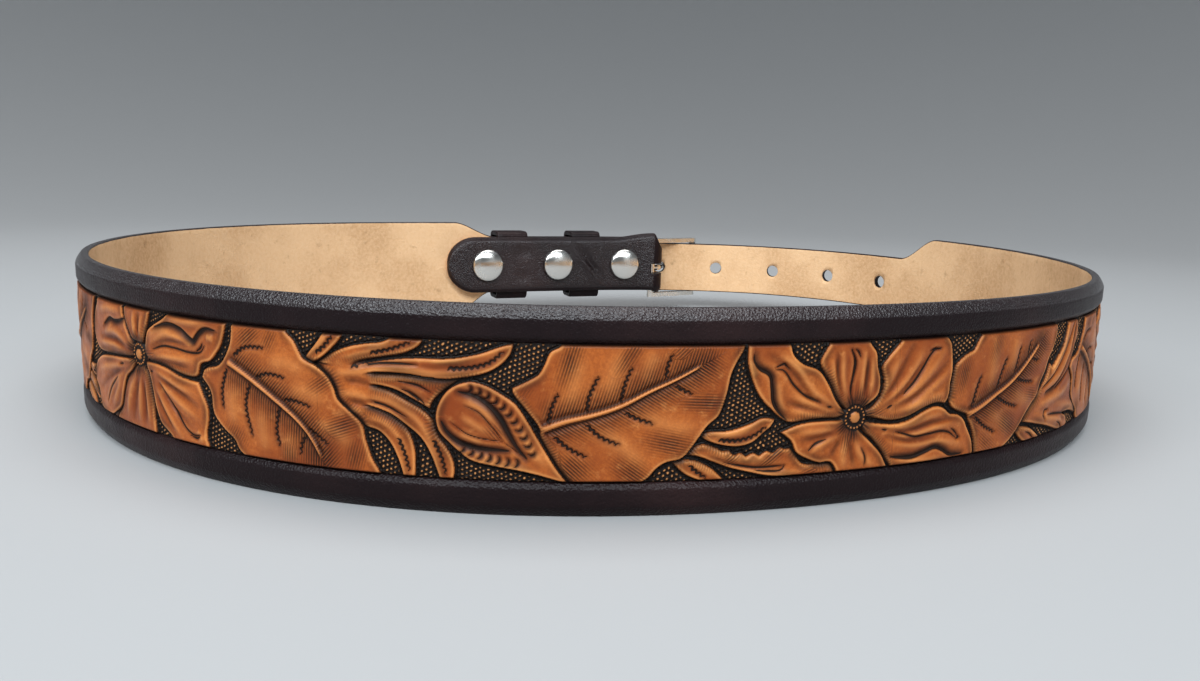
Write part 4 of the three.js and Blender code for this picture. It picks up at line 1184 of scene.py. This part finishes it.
tooling = {
    "ground": -0.9,  # the ground's height from the belt's face, under its beads
    "level": -0.18,  # and the motifs' height
    "press": 0.5,  # how deep what lies behind an outline is pressed down
    "pressReach": 1.5,
    "edgeRound": 0.55,
    "edgeDrop": 0.14,
    "outlineInk": 0.19,
    "outlineBlur": 0.14,
    "plainBlur": 2.2,  # where a plain motif fades into what it lies on
    "castShade": 0.97,
    "rimShade": 0.9,
    "rimTone": 0.55,
    "burnish": 0.26,
    "hatchReach": 2.8,
    "ridgeScale": 1.4,
    "valleyShare": 0.8,  # of a ridge's width
    "valleyDepth": 0.28,
    # hills painted lighter and valleys darker: painted highlight and shade, with the finish rubbed off the
    # tops and left in the hollows
    "hillHighlight": 0.35,
    "valleyShade": 0.3,
    "ribWidth": (1.25, 0.45),
    "ribHeight": 0.4,
    "ribGroove": 0.26,
    "ribTone": 0.12,
    "beadPitch": 0.92,
    "beadTurn": 24,
    "beadHeight": 0.26,
    "softSteps": 12,
}

# What each kind of line does: its ink's width at both ends, the depth and reach of its groove, the
# strength of its shade, and how far it tapers at its ends
strokes = {
    "valleys": {"ink": (0, 0), "depth": 0, "reach": 0.7, "shade": 0.14},
    "folds": {"ink": (0.55, 0.55), "depth": 0.42, "reach": 0.9, "shade": 0.8, "taper": 4},
    "wavy beds": {"ink": (0, 0), "depth": 0.14, "reach": 0.7, "shade": 0.24},
    "wavy cuts": {"ink": (0.48, 0.22), "depth": 0.14, "reach": 0.3, "shade": 0.5},
    "scallops": {"ink": (0.34, 0.16), "depth": 0.3, "reach": 0.5, "shade": 0.6},
    "gouges": {"ink": (0.8, 0.8), "depth": 0.55, "reach": 0.75, "shade": 0.9, "taper": 99},
    "cuts": {"ink": (0.34, 0.34), "depth": 0.272, "reach": 0.4, "shade": 0.34, "taper": 3},
    "fine cuts": {"ink": (0.2, 0.2), "depth": 0.16, "reach": 0.4, "shade": 0.2, "taper": 3},
}


def startField(s, z):  # the beaded ground, before any motif lies on it
    turn = math.radians(tooling["beadTurn"])
    waver = 0.25 * np.sin(s * 0.31 + z * 0.17) + 0.2 * np.sin(z * 0.43 - s * 0.13)
    pitch = tooling["beadPitch"]
    beadU = (s * math.cos(turn) + z * math.sin(turn)) / pitch + waver
    beadV = (z * math.cos(turn) - s * math.sin(turn)) / (pitch * 0.88) + waver * 0.7
    across = np.mod(beadU + 0.5 * np.mod(np.floor(beadV), 2), 1) - 0.5
    up = np.mod(beadV, 1) - 0.5
    bead = np.clip(1 - (across ** 2 + up ** 2) / 0.18, 0, 1) ** 0.7
    field = {"s": s, "z": z, "height": tooling["ground"] + tooling["beadHeight"] * bead}
    field.update({name: np.zeros(s.shape) for name in toolingLayers})
    field.update({"beadU": beadU, "beadV": beadV})
    field.update({"cover": np.full(s.shape, -2.0), "ink": np.full(s.shape, -1.0)})
    return field


def moved(points, shift):
    return [(x + shift, y) for x, y in points]


def fromEnds(way, length, taper):
    return np.clip(np.minimum(way, length - way) / taper, 0, 1)


def pressLine(part, line, kind, mask, oneSide=0):  # a groove, inked along its middle, with its soft shade
    stroke = strokes[kind]
    first, last = stroke["ink"]
    distance, way, side, length = lineDistance(line, part["s"], part["z"])
    ends = fromEnds(way, length, max(min(stroke.get("taper", 1), length / 2), 1e-3)) ** 0.6
    near = np.exp(-(distance / stroke["reach"]) ** 2) * (0.35 + 0.65 * ends)
    if oneSide:
        near = near * np.where(side * oneSide > 0, 1, np.exp(-(distance / 0.3) ** 2))
    part["height"] -= stroke["depth"] * near * mask
    part["shade"] = np.maximum(part["shade"], stroke["shade"] * near * mask)
    if first:
        half = blend(first, last, way / length) / 2 * (0.3 + 0.7 * ends)
        part["ink"] = np.maximum(part["ink"], np.where(mask > 0.5, half - distance, -1))


def swellLine(part, line, width, height, mask, tone):
    distance, way, _, length = lineDistance(line, part["s"], part["z"])
    near = np.exp(-(distance / width) ** 2) * smoothStep(fromEnds(way, length, length * 0.35), -0.3, 1)
    part["height"] += height * near * mask
    # the tone added here is painted highlight on a hill or painted shade in a valley, with the finish
    # rubbed off or left there
    part["tone"] += tone * near * mask


def raiseRib(part, line, mask):
    distance, way, side, length = lineDistance(line, part["s"], part["z"])
    wide, narrow = tooling["ribWidth"]
    half = blend(wide, narrow, way / length) / 2
    start = smoothStep(way, -0.2, 0.8) * smoothStep(length - way, -0.2, 1.5)
    rib = np.exp(-(distance / half) ** 2 * 0.9)
    groove = np.exp(-((distance - half * 1.7) / 0.5) ** 2)
    part["height"] += (tooling["ribHeight"] * rib - tooling["ribGroove"] * groove) * start * mask
    past = np.maximum(distance - half * 0.8, 0)
    fall = 0.55 * np.exp(-past / 0.35) + 0.45 * np.exp(-past / 1.7)
    cast = smoothStep(distance, half * 0.7, half * 1.25) * np.where(side < 0, 1.0, 0.9) * fall
    part["shade"] = np.maximum(part["shade"], cast * mask * start)
    onRib = np.exp(-(distance / (half * 0.9)) ** 4) * mask * start
    part["shade"] *= 1 - 0.9 * onRib
    part["hatch"] *= 1 - onRib
    part["tone"] = blend(part["tone"], tooling["ribTone"], onRib)


def hatchRegion(part, amount, angle, mask):
    amount = amount * mask
    turn = math.radians(angle)
    stronger = amount > part["hatch"]
    phase = part["z"] * math.cos(turn) - part["s"] * math.sin(turn)
    part["phase"] = np.where(stronger, phase, part["phase"])
    part["hatch"] = np.maximum(part["hatch"], amount)


def layOutline(part, signed, around, plain):  # presses, shades and hatches what lies behind the outline
    shown = 0 if plain else 1
    blur = tooling["outlineBlur"]
    mask = smoothStep(signed, 0, tooling["plainBlur"]) if plain else smoothStep(signed, -blur, blur)
    near = np.clip(1 + signed / tooling["pressReach"], 0, 1) * (signed < 0) * shown
    behind = smoothStep(part["cover"], -0.1, 0.1)
    edge = np.clip(1 - signed / tooling["edgeRound"], 0, 1) * shown
    outside = part["height"]
    if shown:
        bare = np.clip(smoothStep(-signed, 0.1, 0.45) + behind, 0, 1)
        outside = blend(tooling["ground"], outside - tooling["press"] * near ** 2 * behind, bare)
    part["height"] = blend(outside, tooling["level"] - tooling["edgeDrop"] * edge ** 2, mask)
    cast = tooling["castShade"] * near ** 1.1 * behind
    cast = np.maximum(cast, tooling["rimShade"] * np.exp(-(signed / 0.5) ** 2) * shown)
    part["shade"] = np.where(signed > 0, part["shade"] * (1 - mask), np.maximum(part["shade"], cast))
    rim = tooling["rimTone"] * np.exp(-(signed - 0.32) ** 2 / 0.06) * shown
    part["tone"] = blend(part["tone"], rim, mask)
    beside = np.clip(1 + signed / tooling["hatchReach"], 0, 1) ** 1.4 * behind * (signed < 0) * shown
    part["phase"] = np.where(beside > part["hatch"], around, part["phase"])
    part["hatch"] = np.maximum(part["hatch"], beside) * (1 - mask)
    clear = signed * (1 if shown else 0.6)
    part["ink"] = np.where(signed > 0, np.minimum(part["ink"], -clear), part["ink"])
    part["cover"] = np.maximum(part["cover"], signed)
    burnish = shown * np.exp(-((signed - 0.9) / 0.7) ** 2) * (0.5 + 0.5 * np.sin(around * 0.55 + 1))
    part["shade"] = np.maximum(part["shade"], tooling["burnish"] * burnish * mask)
    return mask


def stampSurface(part, motif, shift, mask):  # hills, valleys, hatching and the rib
    width, height = motif["ridge"]
    for points in motif.get("ridges", ()):
        line = smoothLine(moved(points, shift))
        swellLine(part, line, width, height * tooling["ridgeScale"], mask, tooling["hillHighlight"])
    width *= tooling["valleyShare"]
    for points in motif.get("valleys", ()):
        line = smoothLine(moved(points, shift))
        swellLine(part, line, width, -tooling["valleyDepth"], mask, -tooling["valleyShade"])
        pressLine(part, line, "valleys", mask)
    for across, up, long, wide, angle, strength in motif.get("patches", ()):
        turn = math.radians(angle)
        beside, above = part["s"] - across - shift, part["z"] - up
        u = beside * math.cos(turn) + above * math.sin(turn)
        v = above * math.cos(turn) - beside * math.sin(turn)
        hatchRegion(part, strength * np.exp(-(u / long) ** 2 - (v / wide) ** 2), angle, mask)
    if "rib" in motif:
        rib = smoothLine(moved(motif["rib"], shift))
        fromRib, way, side = lineDistance(rib, part["s"], part["z"])[:3]
        for sign, angle, reach in motif["ribHatch"]:
            amount = (side * sign > 0) * np.exp(-(fromRib / reach) ** 2) * smoothStep(way, 0, 2)
            hatchRegion(part, amount, angle, mask)
        raiseRib(part, rib, mask)


def stampLines(part, motif, shift, mask):  # what the knife and the small stamps leave
    def lines(key):
        return [moved(points, shift) for points in motif.get(key, ())]

    for points in lines("folds"):
        pressLine(part, smoothLine(points), "folds", mask, motif["foldSide"])
    for points in lines("wavyCuts"):
        pressLine(part, smoothLine(points), "wavy beds", mask)
        pressLine(part, wavyLine(points), "wavy cuts", mask)
    for points in lines("scallops"):
        for arc in crescents(smoothLine(points)):
            pressLine(part, arc, "scallops", mask)
    for points in lines("gouges"):
        pressLine(part, smoothLine(points), "gouges", mask)
    for points in lines("cuts"):
        pressLine(part, smoothLine(points), motif.get("cutKind", "cuts"), mask)


def stampMotif(field, motif, shift):
    outline = smoothLine(moved(motif["outline"], shift), closed=True)
    margin = tooling["pressReach"] + 0.5
    alongs = field["s"][:, 0]
    rows = np.nonzero((alongs > outline[:, 0].min() - margin) & (alongs < outline[:, 0].max() + margin))[0]
    if not len(rows):
        return
    window = slice(rows[0], rows[-1] + 1)
    part = {key: values[window] for key, values in field.items()}
    distance, around = lineDistance(outline, part["s"], part["z"])[:2]
    signed = np.where(insideLine(outline, part["s"], part["z"]), distance, -distance)
    mask = layOutline(part, signed, around, "plain" in motif)
    stampSurface(part, motif, shift, mask)
    stampLines(part, motif, shift, mask)
    if "plain" not in motif:
        ink = tooling["outlineInk"] - np.abs(signed + tooling["outlineInk"] - 0.03)
        part["ink"] = np.maximum(part["ink"], ink)
    for key, values in part.items():
        field[key][window] = values


flowerCentre = {  # radii, heights and counts
    "reach": 6.0,
    "boss": 1.15,
    "ring": 2.05,
    "beads": 18,
    "disc": 2.6,  # the sunk disc that the boss and the beads stand on
    "floor": -0.62,
    "bossHeight": 0.5,
    "beadHeight": 0.26,
    "rays": 38,
}


def stampCentre(field, centre, shift):  # a flower's boss with its ring of beads
    s = field["s"] - centre[0] - shift
    z = field["z"] - centre[1]
    away = np.hypot(s, z)
    around = np.arctan2(z, s)
    inside = away < flowerCentre["reach"]
    boss = np.clip(1 - (away / flowerCentre["boss"]) ** 2, 0, 1)
    ring, beads, disc = (flowerCentre[name] for name in ("ring", "beads", "disc"))
    aside = (np.mod(around / (2 * math.pi) * beads, 1) - 0.5) * (2 * math.pi * ring / beads)
    bead = np.clip(1 - (aside ** 2 + (away - ring) ** 2) / 0.06, 0, 1)
    raised = flowerCentre["bossHeight"] * np.sqrt(boss) + flowerCentre["beadHeight"] * np.sqrt(bead)
    sunk = field["height"] - 0.25 * np.exp(-((away - disc) / 1.1) ** 2)
    height = blend(sunk, flowerCentre["floor"] + raised, smoothStep(away, disc + 0.3, disc - 0.3))
    field["height"] = np.where(inside, height, field["height"])
    rays = 0.5 + 0.5 * np.sin(around * flowerCentre["rays"] + 1.5 * np.sin(around * 5))
    fade = smoothStep(away, 5.8, disc - 0.3) * inside
    length = 0.6 + 0.4 * np.sin(around * 7 + 1)
    field["shade"] = np.maximum(field["shade"], fade * (0.35 + 0.75 * rays * length))
    light = (boss > 0.05) | (bead > 0.15)
    field["shade"] = np.where(away < disc, np.where(light, 0.12, 0.97), field["shade"])
    field["ink"] = np.where(away < disc + 0.3, -1, field["ink"])
    field["hatch"] = np.where(away < disc + 0.6, 0, field["hatch"])
    field["tone"] = np.where(light & (away < disc), 0.6, field["tone"])
    field["cover"] = np.where(away < disc + 0.4, 2, field["cover"])


def softened(height):
    soft = height.copy()
    for _ in range(tooling["softSteps"]):
        around = soft[:-2, 1:-1] + soft[2:, 1:-1] + soft[1:-1, :-2] + soft[1:-1, 2:]
        soft[1:-1, 1:-1] = (soft[1:-1, 1:-1] + around) / 5
    return soft


def tooledField(along, up, half):
    field = startField(along, up)
    for shift, names in patternPlan:
        for motif in (each for name in names for each in patternMotifs[name]):
            if "centre" in motif:
                stampCentre(field, motif["centre"], shift)
            else:
                stampMotif(field, motif, shift)
    fromEdge = half[:, None] - np.abs(up - beltSizes["width"] / 2)
    # painted shade in the hollows and painted highlight on the rises, from how far the height lies below
    # its smoothed copy
    hollowShading = (softened(field["height"]) - field["height"]) * smoothStep(field["cover"], 0.1, 0.5)
    field["shade"] = np.maximum(field["shade"], np.clip(hollowShading * 3, 0, 0.75))
    field["tone"] += np.clip(-hollowShading * 4, 0, 0.7)
    field["height"] = blend(tooling["ground"], field["height"], smoothStep(fromEdge, 0.0, 0.5))
    field["ink"] = np.maximum(field["ink"], 0.16 - fromEdge)
    field["shade"] = np.maximum(field["shade"], 0.8 * np.exp(-(fromEdge / 0.4) ** 2))
    return field


def makePanelPart(first, last, step):
    spare = tooling["softSteps"] + 2  # rows beyond each end, so that neighbours meet without a seam
    count = round((last - first) / step)
    alongs = first + (last - first) * np.arange(-spare, count + spare + 1) / count
    half = panelHalf(alongs + loopLength)
    count = round((beltSizes["width"] - 2 * beltSizes["border"]) / step) + 1
    s = np.repeat(alongs[:, None], count, axis=1)
    z = beltSizes["width"] / 2 + half[:, None] * np.linspace(-1, 1, count)[None, :]
    field = {key: values[spare:-spare] for key, values in tooledField(s, z, half).items()}
    alongs, half, z = alongs[spare:-spare], half[spare:-spare], z[spare:-spare]
    floor = np.full((len(alongs), 3), -panelPlan["floor"])
    underUps = beltSizes["width"] / 2 + (half[:, None] + 0.02) * np.array([1, 0, -1])[None, :]
    outs = np.concatenate([field["height"], floor, field["height"][:, :1]], axis=1)
    ups = np.concatenate([z, underUps, z[:, :1]], axis=1)
    ways = np.repeat(alongs[:, None] + loopLength, outs.shape[1], axis=1)
    layers = {}
    for layerName in toolingLayers:
        values = field[layerName]
        under = np.repeat(values[:, -1:], floor.shape[1], axis=1)
        layers[layerName] = np.concatenate([values, under, values[:, :1]], axis=1)
    uv = np.stack([ways, ups], axis=-1) * uvScale
    mesh = gridMesh("tooled panel", beltPoint(ways, outs, ups), layers, uv)
    closeMesh(mesh)
    return mesh


tooledLeather = makeTooledLeather()
for number, (first, last, step) in enumerate(panelPlan["parts"], 1):
    mesh = makePanelPart(first, last, step)
    addPiece(f"tooled_panel_{number}", mesh, tooledLeather, "strap_leather", "belt_strap")

print("keepers")

keeperShape = {"edgeRound": 0.55, "cornerRound": 2.4, "cornerSteps": 8, "edgeSteps": 5, "step": 1.5}


def roundCorner(middle, radius, turn, steps):  # points on a quarter circle, each with its direction
    for angle in np.radians(np.linspace(turn, turn + 90, steps + 1)):
        way = (math.cos(angle), math.sin(angle))
        yield middle[0] + radius * way[0], middle[1] + radius * way[1], *way


def keeperPath():  # (out, up, normal out, normal up) round the middle of the wall
    wall = beltSizes["keeperWall"]
    radius = keeperShape["cornerRound"] - wall / 2
    inner = -leather - room - wall / 2 + radius
    outer = billetOut + leather / 2 + room + wall / 2 - radius
    low = min(neckLow, billetLow) - room - wall / 2 + radius
    top = max(neckTop, billetTop) + room + wall / 2 - radius
    path = []
    for middle, turn in (((outer, low), -90), ((outer, top), 0), ((inner, top), 90), ((inner, low), 180)):
        path += roundCorner(middle, radius, turn, keeperShape["cornerSteps"])
    fuller = []
    for here, after in zip(path, path[1:] + path[:1]):
        count = max(1, round(math.dist(here[:2], after[:2]) / keeperShape["step"]))
        fuller += [[blend(here[k], after[k], i / count) for k in range(4)] for i in range(count)]
    return np.array(fuller + fuller[:1])


def keeperSection():  # (along, thickness) round the wall's section
    edgeRound = keeperShape["edgeRound"]
    flat = beltSizes["keeperWidth"] / 2 - edgeRound
    wall = beltSizes["keeperWall"] / 2
    section = []
    for side, face, turn in ((1, 1, 0), (-1, 1, 90), (-1, -1, 180), (1, -1, 270)):
        middle = (side * flat, face * (wall - edgeRound))
        section += [point[:2] for point in roundCorner(middle, edgeRound, turn, keeperShape["edgeSteps"])]
        if side == face:
            section += [(side * flat * (1 - 2 * share), face * wall) for share in (0.2, 0.4, 0.6, 0.8)]
    return np.array(section + section[:1])


def makeKeeper(middle):
    path = keeperPath()[:, None, :]
    section = keeperSection()[None, :, :]
    outs = path[..., 0] + path[..., 2] * section[..., 1]
    ups = path[..., 1] + path[..., 3] * section[..., 1]
    ways = middle + np.broadcast_to(section[..., 0], outs.shape)
    mesh = gridMesh("keeper", beltPoint(ways, outs, ups))
    closeMesh(mesh, fillHoles=False)
    return mesh


for keeperName, middle in keeperPlaces.items():
    addPiece(keeperName.replace("keeper", "leather_keeper"), makeKeeper(middle), keeperLeather,
             "dark_leather", keeperName)

print("snaps and buckle")

snapShape = {
    "rim": 0.7,
    "dome": 2.3,
    "domeSteps": 14,
    "wall": 0.55,
    "bore": 2.3,
    "socket": 4.3,
    "neck": 3.2,
    "sides": 64,
}


def outwardFrame(along, out, up):  # Z inwards from the belt's face, at a place on it
    way = Vector((*outwardAt(along), 0))
    turn = (-way).to_track_quat("Z", "Y").to_matrix().to_4x4()
    return Matrix.Translation(Vector(beltPoint(along, out, up))) @ turn


def makeSnapCap(along):
    radius = beltSizes["capDiameter"] / 2
    bore, socket, neck, wall = (snapShape[name] for name in ("bore", "socket", "neck", "wall"))
    rim = beltSizes["layerSpace"] + leather + room
    face = beltSizes["layerSpace"] - room
    profile = [(0, rim - wall), (bore, rim - wall), (bore, face - wall), (socket - 0.2, face - wall),
               (socket, face - wall + 0.15), (socket, face), (neck, face), (neck, rim), (radius - 0.5, rim),
               (radius - 0.12, rim + 0.12), (radius, rim + 0.4), (radius - 0.1, rim + snapShape["rim"])]
    for angle in np.radians(np.linspace(6, 90, snapShape["domeSteps"] + 1)):
        profile.append(((radius - 0.1) * math.cos(angle),
                        rim + snapShape["rim"] + snapShape["dome"] * math.sin(angle)))
    profile = [(x * mm, z * mm) for x, z in profile]
    place = outwardFrame(along, -leather, beltSizes["neckMiddle"])
    mesh = turnedMesh("snap cap", profile, snapShape["sides"], place)
    closeMesh(mesh, sharpAngle=math.radians(40))
    return mesh


for number, along in enumerate(snapPlaces, 1):
    addPiece(f"snap_dome_{number}", makeSnapCap(along), nickel, "nickel", f"snap_cap_{number}")

for nodeName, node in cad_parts.items():
    if nodeName.startswith("snap_stud") or nodeName == "buckle":
        node.data.materials.clear()
        node.data.materials.append(nickel)

print("studio")

studio = {
    "cameraPlace": (-0.753, -299.485, 61.644),
    "pitch": 10.26,
    "roll": 1.698,
    "lens": 28.5,
    "floorColour": (0.4, 0.4, 0.4),
    "floorFlat": 700,  # the radius of the floor's flat middle, from where it curves up all round
    "floorCurve": 1700,
    "sky": (0.85, 0.92, 1.0),
    "skyStrength": 0.22,
}

# Softboxes: place and target in metres, size, power and colour
softboxes = {
    "overhead softbox": ((0, 0.2, 1.3), (0, 0, 0), (1.3, 0.7), 8, (1, 1, 1)),
    "front softbox": ((-0.1, -0.85, 0.85), (0, -0.1, 0.02), (2.4, 0.5), 24, (0.88, 0.95, 1)),
}


def placeCamera():
    cameraData = bpy.data.cameras.new("camera")
    cameraData.lens = studio["lens"]
    cameraData.sensor_width = 36
    cameraData.clip_start = 0.01
    camera = bpy.data.objects.new("camera", cameraData)
    bpy.context.scene.collection.objects.link(camera)
    camera.matrix_world = (Matrix.Translation(Vector(studio["cameraPlace"]) * mm)
                           @ Matrix.Rotation(math.radians(90 - studio["pitch"]), 4, "X")
                           @ Matrix.Rotation(math.radians(studio["roll"]), 4, "Z"))
    bpy.context.scene.camera = camera


def makeFloor():
    material, _, shader = startMaterial("studio floor")
    shader.inputs["Base Color"].default_value = (*studio["floorColour"], 1)
    shader.inputs["Roughness"].default_value = 0.8
    flat, curve = studio["floorFlat"] * mm, studio["floorCurve"] * mm
    profile = [(0, 0), (flat, 0)]
    for angle in np.radians(np.linspace(3, 90, 30)):
        profile.append((flat + curve * math.sin(angle), curve * (1 - math.cos(angle))))
    mesh = turnedMesh("studio sweep", profile, 96)
    closeMesh(mesh, fillHoles=False)
    mesh.materials.append(material)
    floor = bpy.data.objects.new("studio_sweep", mesh)
    bpy.context.scene.collection.objects.link(floor)


def lightScene():
    scene = bpy.context.scene
    scene.world = bpy.data.worlds.new("studio")
    scene.world.use_nodes = True
    background = scene.world.node_tree.nodes["Background"]
    background.inputs["Color"].default_value = (*studio["sky"], 1)
    background.inputs["Strength"].default_value = studio["skyStrength"]
    scene.view_settings.view_transform = "Standard"
    scene.view_settings.look = "Medium High Contrast"
    for name, (place, target, size, power, colour) in softboxes.items():
        light = bpy.data.lights.new(name, "AREA")
        light.shape = "RECTANGLE"
        light.size, light.size_y = size
        light.energy = power
        light.color = colour
        lamp = bpy.data.objects.new(name, light)
        scene.collection.objects.link(lamp)
        way = Vector(target) - Vector(place)
        turn = way.to_track_quat("-Z", "Y").to_matrix().to_4x4()
        lamp.matrix_world = Matrix.Translation(Vector(place)) @ turn


placeCamera()
makeFloor()
lightScene()
